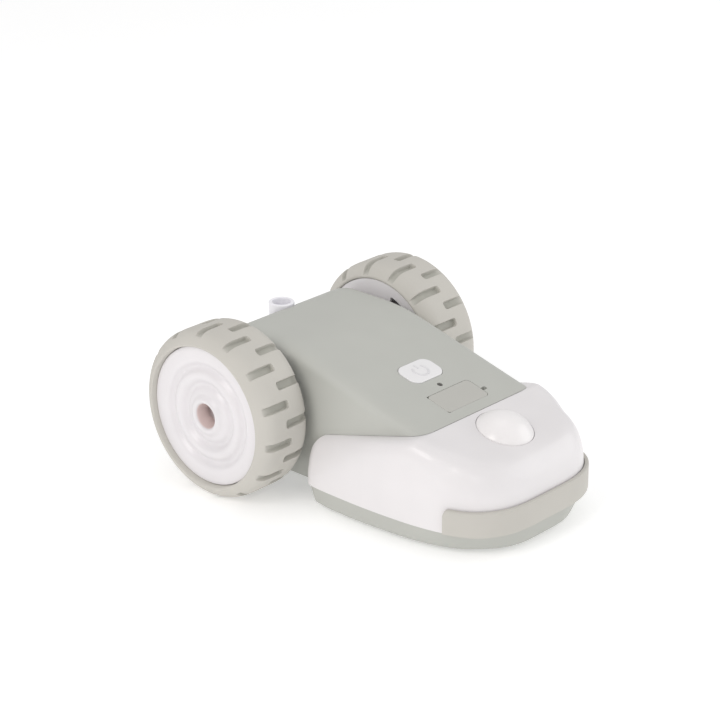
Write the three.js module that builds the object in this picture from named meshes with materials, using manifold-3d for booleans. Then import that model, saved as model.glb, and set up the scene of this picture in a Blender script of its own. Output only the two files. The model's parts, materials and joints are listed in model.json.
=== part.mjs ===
// A cordless robotic pool cleaner, built from the separate pieces it comes apart into.
// Millimetres, +Z up. The nose points along -Y and the wheels turn on an axis along X.
// The origin is on the floor, under the middle of the machine.
import * as THREE from 'three';
import { mergeVertices } from 'three/addons/utils/BufferGeometryUtils.js';
import Module from 'manifold-3d';

const wasm = await Module();
wasm.setup();

// ---------------------------------------------------------------- driving dimensions

const GAP = 0.4; // clearance between two pieces that meet
const WALL = 3; // moulded wall thickness

// Wheels: tyre profiles as (way in from the tyre's side, radius)
const WHEEL_RADIUS = 75;
const TYRE_WIDTH = 57;
const TYRE_INNER_X = 80.5;
const TYRE_SHOULDER = [[0, 62.3], [0, 64.6], [3.2, 69.6], [9.3, 73.8], [20, WHEEL_RADIUS]];
const AXLE_Y = 96.5;
const AXLE_Z = WHEEL_RADIUS;
const AXLE_RADIUS = 5;
const RIM_RADIUS = 61.9;
const RIM_INSET = 4.9; // the rim's face sits this far inside the tyre's side
const DISC_THICKNESS = 3.6;
const WINDOW = { count: 4, turn: 35, inner: 26, outer: 51.7, halfAngle: 17 };
const WHEEL_SEGMENTS = 36;

// Tread: two staggered rows of slots, which dive over their own shoulder of the tyre
const TREAD_SLOTS = 14; // in each row
const TREAD_SLOT_WIDTH = 7.2;
const TREAD_SLOT_FLOOR = WHEEL_RADIUS - 4.2;
const TREAD_ROW_ENDS = { outer: 25, inner: 31 }; // measured from the tyre's inner side
const TREAD_DIVE = { run: 9, drop: 4.8 };
const TREAD_PHASE = { left: 18.7, right: 12.5 }; // degrees above straight ahead

// Gear pair between each motor and its wheel
const GEAR_MODULE = 1.5;
const GEAR_TEETH = 30;
const PINION_TEETH = 10;
const GEAR_SHIFT = 0.5; // extra centre distance, for backlash
const PINION_DISTANCE = (GEAR_MODULE * (GEAR_TEETH + PINION_TEETH)) / 2 + GEAR_SHIFT;
const GEAR_X = 56;
const GEAR_WIDTH = 6;

// Body: a flat deck that rises towards the rear, a crown, and a rounded tail
const DECK_Z0 = 117.24; // height of the deck plane above the origin
const DECK_SLOPE = 0.2545;
const DECK_ANGLE = Math.atan(DECK_SLOPE);
const CROWN_START_Y = 30;
const CROWN_Y = 78;
const TAIL_START_Y = 110;
const TAIL_RADIUS = 40;
const TAIL_Y = TAIL_START_Y + TAIL_RADIUS;
const TAIL_CORNER = 14;
const SHELL_FRONT_Y = -92;
const SHELL_FOOT_Z = 12;
const WAIST_X = 76.5;
const WAIST_Z = 58;
const FOOT_X = 66.5;
const RIDGE = { x: 72, width: 19.5, drop: 14, fullness: 3.1 }; // the soft edge between deck and side
const RIDGE_STEPS = 5;
const BODY_STATIONS = [SHELL_FRONT_Y, 30, 54, CROWN_Y, TAIL_START_Y, 122, 132, 140, 146, TAIL_Y];

// Nose cover: the seam with the upper shell, seen from the side as (y, z) points
const SEAM = { top: [-91.7, 93.7], rear: [13.5, 64.8], corner: [19, 58], heel: [24, 31], foot: [20, -50] };
const COVER_FOOT_Z = 22;
const NOSE_BACK_Y = 25.5;
const SHOULDER = 26; // how far the cover's shoulder reaches in before it meets the deck
const SHOULDER_FOOT_Z = 30;
const SHOULDER_SHARES = [0, 0.35, 0.65, 0.85, 0.95, 1];
const COVER_BEYOND_Z = 150; // above everything, where the cover's form is trimmed off
const PAN_WALL_Y = 18.2; // front of the base pan's rear wall
const FLOOR_Z = 4.5;
const FLOOR_TOP_Z = FLOOR_Z + WALL;
const BUMPER = { proud: 4, edge: 1.2, shoulder: 43, top: 45, back: -126 };

// Half of the nose outline at its foot, from the front middle round to the rear corner
const NOSE_CURVE = new THREE.SplineCurve([
  [0, -167.5], [30, -167], [49.5, -163], [64.5, -154.5], [75, -142.5], [82.8, -123.5], [88, -100],
  [91, -72], [92.6, -40], [92.6, -10], [92, 8], [90, 18.5], [82, NOSE_BACK_Y],
].map(([x, y]) => new THREE.Vector2(x, y)));
const NOSE_POINTS = 16;

// Fittings on the deck, as (x, y) on the sloping surface
const BUTTON = { y: -27, width: 39, depth: 26, corner: 9, proud: 0.8 };
const LIGHT = { y: -49, radius: 2.2 };
const PORT = { x: 1, y: -68.5, width: 52, depth: 26, corner: 4.5, recessCorner: 1.8, thickness: 2.2 };
const PULL = { x: 29.5, y: -4, halfDepth: 2 }; // the finger notch at the end of the port's flap
const SOCKET = { x: -6, outer: 7, bore: 4.6 };
const LAMP = { y: -120.5, radius: 24.5, height: 12.5, thickness: 2 };
const LAMP_STEPS = 4;
const NOZZLE = { y: 136.8, radius: 11.5, bore: 8.3, top: 130.1, seat: 106 };

// Pump, as radii and heights
const PUMP_Y = 106;
const PUMP = { radius: 30, bottom: 18, top: 52, pipe: 9.8, bore: 7.5, intake: 12 };
const IMPELLER = { blades: 6, reach: 24, bottom: 30, top: 45 };

// Filter
const DOOR = { halfWidth: 52, front: -100, back: -4 };
const DOOR_AXIS = { y: DOOR.back - 1.9, z: FLOOR_Z + 1.5 };
const MOUTH = { halfWidth: 42, y: -52, halfDepth: 10 };
const FLAP_AXIS = { y: MOUTH.y + MOUTH.halfDepth + 1.5, z: 17.1 };
const LATCH = { halfWidth: 14, front: -116, top: 6.9 };
const BASKET = { halfWidth: 50, front: -98, back: -8, top: 59, wall: 2, rows: 4, pitch: 20 };

// Sealed box for the battery and the electronics
const DRY_BOX = { halfWidth: 56, front: -88, back: 51, bottom: 64, cover: 18.2 };
const CELLS = { count: 3, pitch: 19.6, radius: 9.2, halfLength: 32.5 };

// Support rollers under the nose, and the screws that hold the base pan
const ROLLER = { y: -128, radius: 7, width: 12, x: 38 };
const SCREWS = [[-74, -70], [74, -70], [-74, 2], [74, 2]];

// ---------------------------------------------------------------- materials

const COLOURS = {
  shell: { color: 0xb9bab4, roughness: 0.6 },
  white: { color: 0xe9e6e6, roughness: 0.35 },
  tyre: { color: 0xc4c1bc, roughness: 0.8 },
  rubber: { color: 0x3a3a3a, roughness: 0.8 },
  lens: { color: 0xf3efec, roughness: 0.15 },
  steel: { color: 0xc8cacc, roughness: 0.3, metalness: 1 },
  brass: { color: 0xc9a44a, roughness: 0.4, metalness: 1 },
  board: { color: 0x1f6b3a, roughness: 0.6 },
  cell: { color: 0x2f6fb0, roughness: 0.5 },
  black: { color: 0x222326, roughness: 0.6 },
};

// ---------------------------------------------------------------- scene

const cleaner = new THREE.Group();

function add(name, geometry, look, parent = cleaner) {
  const mesh = new THREE.Mesh(geometry, new THREE.MeshStandardMaterial(COLOURS[look]));
  mesh.name = name;
  parent.add(mesh);
  return mesh;
}

function groupAt(x, y, z, parent = cleaner) {
  const group = new THREE.Group();
  group.position.set(x, y, z);
  parent.add(group);
  return group;
}

// A group on the deck at (x, y), whose Z is the deck's outward direction.
function deckGroup(x, y) {
  const group = groupAt(x, y, DECK_Z0 + DECK_SLOPE * y);
  group.rotation.x = DECK_ANGLE;
  return group;
}

// A group on the wheels' axle, whose X points outwards on the given side of the machine.
function axleGroup(side) {
  const group = groupAt(0, AXLE_Y, AXLE_Z);
  group.rotation.z = side > 0 ? 0 : Math.PI;
  return group;
}

// ---------------------------------------------------------------- solids

// A closed three.js geometry as a manifold, without the collapsed triangles at a lathe's axis.
function solid(geometry) {
  const bare = geometry.clone();
  bare.deleteAttribute('normal');
  bare.deleteAttribute('uv');
  const merged = mergeVertices(bare, 1e-4);
  const index = merged.index.array;
  const triangles = [];
  for (let i = 0; i < index.length; i += 3) {
    const [a, b, c] = [index[i], index[i + 1], index[i + 2]];
    if (a !== b && b !== c && c !== a) triangles.push(a, b, c);
  }
  const vertProperties = new Float32Array(merged.attributes.position.array);
  const triVerts = new Uint32Array(triangles);
  return new wasm.Manifold(new wasm.Mesh({ numProp: 3, vertProperties, triVerts }));
}

function geometryOf(manifold) {
  const { vertProperties, triVerts } = manifold.getMesh();
  const geometry = new THREE.BufferGeometry();
  geometry.setAttribute('position', new THREE.BufferAttribute(vertProperties, 3));
  geometry.setIndex(new THREE.BufferAttribute(triVerts, 1));
  return geometry;
}

// Joins the first list of geometries and cuts the second list from the result.
function carve(parts, cuts = []) {
  let result = solid(parts[0]);
  for (const part of parts.slice(1)) result = result.add(solid(part));
  for (const cut of cuts) result = result.subtract(solid(cut));
  return geometryOf(result);
}

function overlap(a, b) {
  return geometryOf(solid(a).intersect(solid(b)));
}

function box(x0, x1, y0, y1, z0, z1) {
  const geometry = new THREE.BoxGeometry(x1 - x0, y1 - y0, z1 - z0);
  return geometry.translate((x0 + x1) / 2, (y0 + y1) / 2, (z0 + z1) / 2);
}

// A round bar standing along Z.
function post(radius, x, y, z0, z1, segments = 16) {
  const geometry = new THREE.CylinderGeometry(radius, radius, z1 - z0, segments);
  return geometry.rotateX(Math.PI / 2).translate(x, y, (z0 + z1) / 2);
}

// A round bar lying along X.
function bar(radius, x0, x1, y = 0, z = 0, segments = 16) {
  const geometry = new THREE.CylinderGeometry(radius, radius, x1 - x0, segments);
  return geometry.rotateZ(-Math.PI / 2).translate((x0 + x1) / 2, y, z);
}

// A solid turned about the X axis from (x, radius) points in a closed loop.
function turned(profile) {
  const points = profile.map(([x, radius]) => new THREE.Vector2(radius, x));
  points.push(points[0].clone());
  return outward(new THREE.LatheGeometry(points, WHEEL_SEGMENTS)).rotateZ(-Math.PI / 2);
}

// Turns every triangle over if the solid came out inside-out.
function outward(geometry) {
  const merged = geometry.clone();
  merged.deleteAttribute('normal');
  merged.deleteAttribute('uv');
  const place = merged.attributes.position;
  const index = merged.index.array;
  const corner = [new THREE.Vector3(), new THREE.Vector3(), new THREE.Vector3()];
  let volume = 0;
  for (let i = 0; i < index.length; i += 3) {
    corner.forEach((point, k) => point.fromBufferAttribute(place, index[i + k]));
    volume += corner[0].dot(corner[1].clone().cross(corner[2]));
  }
  if (volume < 0) {
    for (let i = 0; i < index.length; i += 3) {
      [index[i], index[i + 1]] = [index[i + 1], index[i]];
    }
  }
  return merged;
}

// Skins a stack of rings with the same number of points, with a fan over each end.
function loft(rings) {
  const count = rings[0].length;
  const positions = rings.flat().flatMap((point) => point.toArray());
  const triangles = [];
  for (let ring = 0; ring + 1 < rings.length; ring += 1) {
    for (let i = 0; i < count; i += 1) {
      const a = ring * count + i;
      const b = ring * count + ((i + 1) % count);
      triangles.push(a, b, b + count, a, b + count, a + count);
    }
  }
  for (const [ring, flip] of [[0, true], [rings.length - 1, false]]) {
    const middle = new THREE.Vector3();
    for (const point of rings[ring]) middle.addScaledVector(point, 1 / count);
    const centre = positions.length / 3;
    positions.push(...middle.toArray());
    for (let i = 0; i < count; i += 1) {
      const a = ring * count + i;
      const b = ring * count + ((i + 1) % count);
      triangles.push(...(flip ? [centre, b, a] : [centre, a, b]));
    }
  }
  const geometry = new THREE.BufferGeometry();
  geometry.setAttribute('position', new THREE.Float32BufferAttribute(positions, 3));
  geometry.setIndex(triangles);
  return outward(geometry);
}

// An outline in (y, z) pushed through the machine from x0 to x1.
function sidePrism(points, x0, x1) {
  const shape = new THREE.Shape(points.map(([y, z]) => new THREE.Vector2(y, z)));
  const geometry = new THREE.ExtrudeGeometry(shape, { depth: x1 - x0, bevelEnabled: false });
  return geometry.rotateZ(Math.PI / 2).rotateY(Math.PI / 2).translate(x0, 0, 0);
}

// An outline in (x, y) pushed up from z0 to z1.
function plate(shape, z0, z1, curveSegments = 4) {
  const options = { depth: z1 - z0, bevelEnabled: false, curveSegments };
  return new THREE.ExtrudeGeometry(shape, options).translate(0, 0, z0);
}

function roundedShape(width, depth, corner) {
  const shape = new THREE.Shape();
  const x = width / 2;
  const y = depth / 2;
  shape.moveTo(-x + corner, -y);
  shape.lineTo(x - corner, -y);
  shape.absarc(x - corner, -y + corner, corner, -Math.PI / 2, 0);
  shape.lineTo(x, y - corner);
  shape.absarc(x - corner, y - corner, corner, 0, Math.PI / 2);
  shape.lineTo(-x + corner, y);
  shape.absarc(-x + corner, y - corner, corner, Math.PI / 2, Math.PI);
  shape.lineTo(-x, -y + corner);
  shape.absarc(-x + corner, -y + corner, corner, Math.PI, Math.PI * 1.5);
  return shape;
}

// Puts a geometry whose Z is the deck's outward direction on the deck at (x, y).
function onDeck(geometry, x, y) {
  return geometry.rotateX(DECK_ANGLE).translate(x, y, DECK_Z0 + DECK_SLOPE * y);
}

function mirrored(points) {
  const left = [...points].reverse().map((point) => point.clone().setX(-point.x));
  return [...points, ...left];
}

// ---------------------------------------------------------------- body surfaces

// Height of the body's top, or of a surface that follows it a given depth inside.
function deckHeight(y, inward) {
  const run = Math.max(0, Math.min(y, CROWN_Y) - CROWN_START_Y);
  const fade = DECK_SLOPE / (2 * (CROWN_Y - CROWN_START_Y));
  const flat = DECK_Z0 + DECK_SLOPE * Math.min(y, CROWN_START_Y);
  const crown = flat + DECK_SLOPE * run - fade * run * run;
  const radius = TAIL_RADIUS - inward;
  const over = Math.max(0, Math.min(y - TAIL_START_Y, radius));
  return crown - TAIL_RADIUS + Math.sqrt(radius ** 2 - over ** 2);
}

// How far the sides draw in, with the rounded tail corners.
function sideInset(y, inward) {
  const radius = TAIL_CORNER - inward;
  const over = Math.max(0, Math.min(y - (TAIL_Y - TAIL_CORNER), radius));
  return TAIL_CORNER - Math.sqrt(radius ** 2 - over ** 2);
}

// One ring of the body: deck, soft ridge, flaring side, waist and foot.
function bodyRing(stationY, inward, footZ, y = stationY) {
  const top = deckHeight(stationY, inward);
  const inset = sideInset(stationY, inward);
  const waistZ = Math.min(WAIST_Z, top - RIDGE.drop - 6);
  const ridge = [];
  for (let i = 0; i <= RIDGE_STEPS; i += 1) {
    const angle = (Math.PI / 2) * (i / RIDGE_STEPS);
    const across = Math.sin(angle) ** (2 / RIDGE.fullness);
    const down = 1 - Math.cos(angle) ** (2 / RIDGE.fullness);
    ridge.push([RIDGE.x - RIDGE.width * (1 - across) - inset, top - RIDGE.drop * down]);
  }
  const footX = (z) => FOOT_X - inset + (z - SHELL_FOOT_Z) / 2;
  const foot = [SHELL_FOOT_Z + 8, footZ].map((z) => [footX(z), z]);
  const half = [...ridge, [WAIST_X - inset, waistZ], ...foot];
  return mirrored(half.map(([x, z]) => new THREE.Vector3(x, y, z)));
}

function bodySolid() {
  return loft(BODY_STATIONS.map((y) => bodyRing(y, 0, SHELL_FOOT_Z)));
}

// The space inside the body, a given depth under its skin: open in front and below.
function bodyHollow(inward) {
  const foot = SHELL_FOOT_Z - 20;
  const shrink = (TAIL_RADIUS - inward) / TAIL_RADIUS;
  const inside = (y) => (y > TAIL_START_Y ? TAIL_START_Y + (y - TAIL_START_Y) * shrink : y);
  const rings = BODY_STATIONS.map((y) => bodyRing(inside(y), inward, foot));
  return loft([bodyRing(SHELL_FRONT_Y, inward, foot, SHELL_FRONT_Y - 10), ...rings]);
}

// A point of the nose outline, the level direction in which the cover leans from there, how much
// the point belongs to a wing, and how much to a corner of the outline.
function noseSpot(i) {
  const place = NOSE_CURVE.getPoint(i / NOSE_POINTS);
  const along = NOSE_CURVE.getTangent(i / NOSE_POINTS);
  const wing = THREE.MathUtils.smoothstep(place.y, -130, SHELL_FRONT_Y);
  const lean = new THREE.Vector2(-along.y, along.x).lerp(new THREE.Vector2(-1, 0), wing).normalize();
  if (i === 0) lean.set(0, 1);
  return { place, lean, wing, corner: i === 0 ? 0 : 2 * Math.abs(along.x * along.y) };
}

// Height of the seam between cover and shell, along the sides.
function seamHeight(y) {
  return THREE.MathUtils.mapLinear(y, SEAM.top[0], SEAM.rear[0], SEAM.top[1], SEAM.rear[1]);
}

// Distance of the shell's side from the middle of the machine, at the seam.
function seamX(y) {
  const station = Math.max(y, SEAM.top[0]);
  const half = bodyRing(station, 0, SHELL_FOOT_Z).filter((point) => point.x > 0);
  const below = half.findIndex((point) => point.z <= seamHeight(station));
  const [upper, lower] = [half[below - 1], half[below]];
  return THREE.MathUtils.mapLinear(seamHeight(station), upper.z, lower.z, upper.x, lower.x);
}

// One ring of the nose, a share of the way up from its foot to the deck or the seam. The wall
// stands upright and then curls over: fully at the front, and as a plain slope at the wings' ends.
function coverRing(share, inward, footZ) {
  const points = [];
  for (let i = 0; i <= NOSE_POINTS; i += 1) {
    const { place, lean, wing } = noseSpot(i);
    const reach = THREE.MathUtils.lerp(SHOULDER, place.x - seamX(place.y), wing);
    const rearward = THREE.MathUtils.smoothstep(place.y, SHELL_FRONT_Y - 10, SEAM.rear[0]);
    const fullness = 2.9 + 2.1 * wing - 3.4 * rearward;
    const curl = 1 - (1 - share ** fullness) ** (1 / fullness);
    const spot = place.addScaledVector(lean, inward + curl * reach);
    const top = Math.min(DECK_Z0 + DECK_SLOPE * spot.y, seamHeight(spot.y)) - inward;
    const z = share > 0 ? THREE.MathUtils.lerp(SHOULDER_FOOT_Z, top, share) : footZ;
    points.push(new THREE.Vector3(Math.max(spot.x, 0.5), Math.min(spot.y, NOSE_BACK_Y), z));
  }
  return mirrored(points);
}

// The cover's outer form or, with an inward distance, the form of its hollow. It runs on upwards
// past the deck and the seam, where it is trimmed.
function coverSolid(inward, footZ) {
  const rings = SHOULDER_SHARES.map((share) => coverRing(share, inward, footZ));
  const rim = coverRing(1, inward, footZ).map((point) => point.setZ(COVER_BEYOND_Z));
  return loft([...rings, rim]);
}

// One level of the nose with upright walls: its foot outline moved inwards, and more so at its corners.
function noseRing(z, inward, cornerInward = 0) {
  const points = [];
  for (let i = 0; i <= NOSE_POINTS; i += 1) {
    const { place, lean, corner } = noseSpot(i);
    const spot = place.addScaledVector(lean, inward + cornerInward * corner);
    points.push(new THREE.Vector3(Math.max(spot.x, 0.5), Math.min(spot.y, NOSE_BACK_Y), z));
  }
  return mirrored(points);
}

// Everything under the deck plane, lowered by the given depth.
function underDeck(depth) {
  const height = (y) => DECK_Z0 + DECK_SLOPE * y - depth;
  return sidePrism([[-200, -60], [60, -60], [60, height(60)], [-200, height(-200)]], -150, 150);
}

// ---------------------------------------------------------------- outer shells

// A rounded plate's form for a hole or recess in the deck, between two depths below the surface.
function deckHole({ x = 0, y, width, depth }, corner, bottom) {
  const shape = roundedShape(width + 2 * GAP, depth + 2 * GAP, corner);
  return onDeck(plate(shape, bottom, 5), x, y);
}

// Blocks that carry the port and the spigot, joined to the shell from inside.
function shellBlocks() {
  const port = onDeck(box(-34, 34, -17, 17, -9, -1), PORT.x, PORT.y);
  const pocket = post(NOZZLE.radius + 6, 0, NOZZLE.y, NOZZLE.seat - WALL, 140);
  return [port, overlap(bodySolid(), pocket)];
}

function shellCuts() {
  const below = [[-300, -60], [-300, SEAM.top[1]], SEAM.top, SEAM.rear, SEAM.corner, SEAM.heel, SEAM.foot];
  return [
    sidePrism(below, -150, 150),
    deckHole(BUTTON, BUTTON.corner, -12),
    onDeck(post(LIGHT.radius + 0.3, 0, 0, -12, 5), 0, LIGHT.y),
    deckHole(PORT, PORT.recessCorner, -PORT.thickness - GAP),
    onDeck(box(-3, 3, -PULL.halfDepth, PULL.halfDepth, -4.4, 5), PULL.x, PORT.y + PULL.y),
    onDeck(post(SOCKET.outer + GAP, SOCKET.x, 0, -12, 0), PORT.x, PORT.y),
    onDeck(plate(roundedShape(34, 18, 4), -6, 0), PORT.x, PORT.y),
    post(NOZZLE.radius + 2.6, 0, NOZZLE.y, NOZZLE.seat, 150),
    post(PUMP.pipe + GAP, 0, NOZZLE.y, 90, NOZZLE.seat + 1),
    bar(8.4, 50, 90, AXLE_Y, AXLE_Z),
    bar(8.4, -90, -50, AXLE_Y, AXLE_Z),
  ];
}

function addUpperShell() {
  const skin = carve([bodySolid()], [bodyHollow(WALL)]);
  add('upper_shell', carve([skin, ...shellBlocks()], shellCuts()), 'shell');
}

function addNoseCover() {
  const front = SHELL_FRONT_Y - GAP;
  const under = [SEAM.rear, SEAM.corner, SEAM.heel, SEAM.foot].map(([y, z]) => [y - GAP, z - GAP / 2]);
  const seam = [[-300, -60], [-300, 200], [front, 200], [front, SEAM.top[1] - GAP], ...under];
  const outside = overlap(coverSolid(0, COVER_FOOT_Z), underDeck(0));
  const inside = overlap(coverSolid(WALL, COVER_FOOT_Z - 10), underDeck(WALL));
  const lampHole = onDeck(post(LAMP.radius + GAP, 0, 0, -20, 10, 24), 0, LAMP.y);
  const endWall = (x0, x1) => overlap(coverSolid(0, COVER_FOOT_Z), box(x0, x1, 18.5, 25, 0, 90));
  const shell = carve([carve([outside], [inside, lampHole]), endWall(-95, -60), endWall(60, 95)]);
  add('nose_cover', overlap(shell, sidePrism(seam, -150, 150)), 'white');
}

// The base pan's walls and floors, before its openings.
function panBody() {
  const top = COVER_FOOT_Z - GAP;
  const levels = [[FLOOR_Z, 7, 8], [6.5, 3, 8], [13, 1.6, 4.5], [top, 1, 1]];
  const form = loft(levels.map((level) => noseRing(...level)));
  const outside = overlap(form, box(-150, 150, -200, NOSE_BACK_Y - 2, 0, 30));
  const inside = loft([noseRing(FLOOR_TOP_Z, 6, 8), noseRing(top + 5, 4, 1)]);
  const rearWall = overlap(outside, box(-95, 95, PAN_WALL_Y, PAN_WALL_Y + WALL, 0, top));
  const floorBlock = box(-90, 90, PAN_WALL_Y, TAIL_Y, SHELL_FOOT_Z + GAP, SHELL_FOOT_Z + GAP + WALL);
  return [carve([outside], [inside]), rearWall, overlap(floorBlock, bodyHollow(WALL + GAP))];
}

function addBasePan() {
  const latchHalf = LATCH.halfWidth + GAP;
  const blocks = SCREWS.map(([x, y]) => post(5, x, y, FLOOR_Z + 2, 20));
  const cuts = [
    box(-DOOR.halfWidth, DOOR.halfWidth, DOOR.front, DOOR.back, -5, 12),
    box(-latchHalf, latchHalf, LATCH.front - 4.6, DOOR.front + 1, -5, LATCH.top + GAP),
    box(-6, 6, LATCH.front + 1.5, LATCH.front + 6.5, 5, 20),
    box(-PUMP.intake, PUMP.intake, PUMP_Y - PUMP.intake, PUMP_Y + PUMP.intake, 0, 30),
  ];
  for (const x of [-ROLLER.x, ROLLER.x]) {
    blocks.push(box(x - 11, x + 11, ROLLER.y - 11, ROLLER.y + 11, FLOOR_Z + 1, 16));
    cuts.push(box(x - 7, x + 7, ROLLER.y - 9, ROLLER.y + 9, -5, 14));
    cuts.push(bar(2 + GAP, x - 10, x + 10, ROLLER.y, ROLLER.radius, 12));
  }
  for (const [x, y] of SCREWS) {
    cuts.push(post(3.6, x, y, -5, FLOOR_Z + 4.5));
    cuts.push(post(2.1, x, y, -5, 30, 12));
  }
  add('base_pan', carve([...panBody(), ...blocks], cuts), 'shell');
}

function addBumper() {
  const { proud, edge, shoulder, top, back } = BUMPER;
  const foot = COVER_FOOT_Z + GAP;
  const outside = loft([noseRing(foot, -proud), noseRing(shoulder, -proud), noseRing(top, edge - proud)]);
  const inside = loft([noseRing(0, -GAP), noseRing(60, -GAP)]);
  const frontOnly = box(-150, 150, -200, back, 0, 80);
  add('bumper_strip', overlap(carve([outside], [inside]), frontOnly), 'tyre');
}

// ---------------------------------------------------------------- deck fittings

function addButton() {
  const cap = plate(roundedShape(BUTTON.width, BUTTON.depth, BUTTON.corner), -4.6, BUTTON.proud);
  const flange = plate(roundedShape(BUTTON.width + 4, BUTTON.depth + 4, BUTTON.corner), -6, -4.4);
  const stem = post(3, 0, 0, -11.8, -5);
  add('power_button', carve([cap, flange, stem]), 'white', deckGroup(0, BUTTON.y));
}

function addStatusLight() {
  add('status_light', post(LIGHT.radius, 0, 0, -9, -0.6), 'lens', deckGroup(0, LIGHT.y));
}

// The flap turns on its rounded -X end, which lies in the recess of the shell.
function addPortFlap() {
  const half = PORT.thickness / 2;
  const left = -PORT.width / 2;
  const outline = new THREE.Shape();
  outline.moveTo(left + half, -half);
  outline.lineTo(-left, -half);
  outline.lineTo(-left, half);
  outline.lineTo(left + half, half);
  outline.absarc(left + half, 0, half, Math.PI / 2, Math.PI * 1.5);
  const options = { depth: PORT.depth, bevelEnabled: false, curveSegments: 6 };
  const slab = new THREE.ExtrudeGeometry(outline, options);
  slab.rotateX(Math.PI / 2).translate(0, PORT.depth / 2, -half);
  const trim = plate(roundedShape(PORT.width, PORT.depth, PORT.corner), -5, 5);
  const plug = post(5.2, SOCKET.x, 0, -PORT.thickness - 1, -PORT.thickness + 0.5);
  add('port_flap', carve([overlap(slab, trim), plug]), 'shell', deckGroup(PORT.x, PORT.y));
}

function addChargeSocket() {
  const barrel = carve([post(SOCKET.outer, 0, 0, -13.7, -7)], [post(SOCKET.bore, 0, 0, -12.4, 0)]);
  add('charge_socket', barrel, 'black', deckGroup(PORT.x + SOCKET.x, PORT.y));
}

// Half of the dome's section as (radius, height) points, from the axis down and back up inside.
function domeSection() {
  const { radius, height, thickness } = LAMP;
  const ball = (radius * radius + height * height) / (2 * height);
  const sweep = Math.asin(radius / ball);
  const arc = (inward) => {
    const points = [];
    for (let i = 0; i <= LAMP_STEPS; i += 1) {
      const angle = (sweep * i) / LAMP_STEPS;
      const reach = i === 0 ? 0 : (ball - inward) * Math.sin(angle);
      points.push([reach, height - inward - (ball - inward) * (1 - Math.cos(angle))]);
    }
    return points;
  };
  return [...arc(0), [radius, -5], [radius - thickness, -5], ...arc(thickness).reverse()];
}

function addLamp() {
  const place = deckGroup(0, LAMP.y);
  const section = domeSection().map(([radius, z]) => new THREE.Vector2(radius, z));
  const dome = outward(new THREE.LatheGeometry(section, 24)).rotateX(Math.PI / 2);
  add('lamp_lens', geometryOf(solid(dome)), 'lens', place);
  const leds = [-9, 0, 9].map((x) => box(x - 1.8, x + 1.8, -1.8, 1.8, -8, -6.2));
  add('lamp_board', carve([post(18, 0, 0, -9.2, -7.6, 20), ...leds]), 'board', place);
}

// ---------------------------------------------------------------- water path

// The pump stands round the origin of its group, and its outlet rises behind it.
function addPump() {
  const place = groupAt(0, PUMP_Y, 0);
  const outletY = NOZZLE.y - PUMP_Y;
  const { radius, bottom, top } = PUMP;
  const parts = [post(radius, 0, 0, bottom, top, 24), post(PUMP.pipe, 0, outletY, bottom, 58)];
  const cuts = [
    post(radius - WALL, 0, 0, bottom + WALL, top - WALL, 24),
    post(PUMP.bore, 0, outletY, bottom + WALL, 70),
    post(PUMP.intake, 0, 0, 0, bottom + 5),
    post(8.4, 0, 0, top - 5, 60),
    box(-6, 6, 20, outletY, bottom + 5, top - 5),
  ];
  add('pump_housing', carve(parts, cuts), 'black', place);
  add('shaft_seal', carve([post(8, 0, 0, top - 2.6, top + 4)], [post(2.9, 0, 0, 0, 80)]), 'rubber', place);
  add('pump_motor', carve([post(19, 0, 0, 57, 100, 24)], [post(3.1, 0, 0, 50, 74)]), 'steel', place);
  add('pump_shaft', post(2.5, 0, 0, 27, 72, 12), 'steel', place);
  add('impeller', impellerGeometry(), 'black', place);
}

function impellerGeometry() {
  const { blades, reach, bottom, top } = IMPELLER;
  const parts = [post(6, 0, 0, bottom - 2, top + 2, 12), post(reach, 0, 0, top - 1, top + 1.4, 24)];
  for (let i = 0; i < blades; i += 1) {
    parts.push(box(4, reach, -1, 1, bottom, top).rotateZ((i * 2 * Math.PI) / blades));
  }
  return carve(parts, [post(2.8, 0, 0, 0, 80, 12)]);
}

function addOutlet() {
  const place = groupAt(0, NOZZLE.y, 0);
  const pipe = carve([post(PUMP.pipe, 0, 0, 58.4, 95.6)], [post(PUMP.bore, 0, 0, 50, 100)]);
  add('outlet_pipe', pipe, 'black', place);
  const spigot = post(NOZZLE.radius, 0, 0, NOZZLE.seat + GAP, NOZZLE.top, 24);
  const tail = post(PUMP.pipe, 0, 0, 96, NOZZLE.seat + 2);
  add('outlet_nozzle', carve([spigot, tail], [post(NOZZLE.bore, 0, 0, 90, 140)]), 'white', place);
}

// ---------------------------------------------------------------- filter

function addBasket() {
  const { halfWidth, front, back, top, wall } = BASKET;
  const cuts = [box(-halfWidth + wall, halfWidth - wall, front + wall, back - wall, 0, top - wall)];
  for (let row = 0; row < BASKET.rows; row += 1) {
    const y0 = front + 8 + row * BASKET.pitch;
    const y1 = y0 + BASKET.pitch - 6;
    cuts.push(box(-halfWidth - 5, halfWidth + 5, y0, y1, 22, top - 8));
    cuts.push(box(-halfWidth + 8, -4, y0, y1, top - 5, top + 5));
    cuts.push(box(4, halfWidth - 8, y0, y1, top - 5, top + 5));
  }
  const block = box(-halfWidth, halfWidth, front, back, FLOOR_TOP_Z + GAP, top);
  add('filter_basket', carve([block], cuts), 'white');
}

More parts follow.
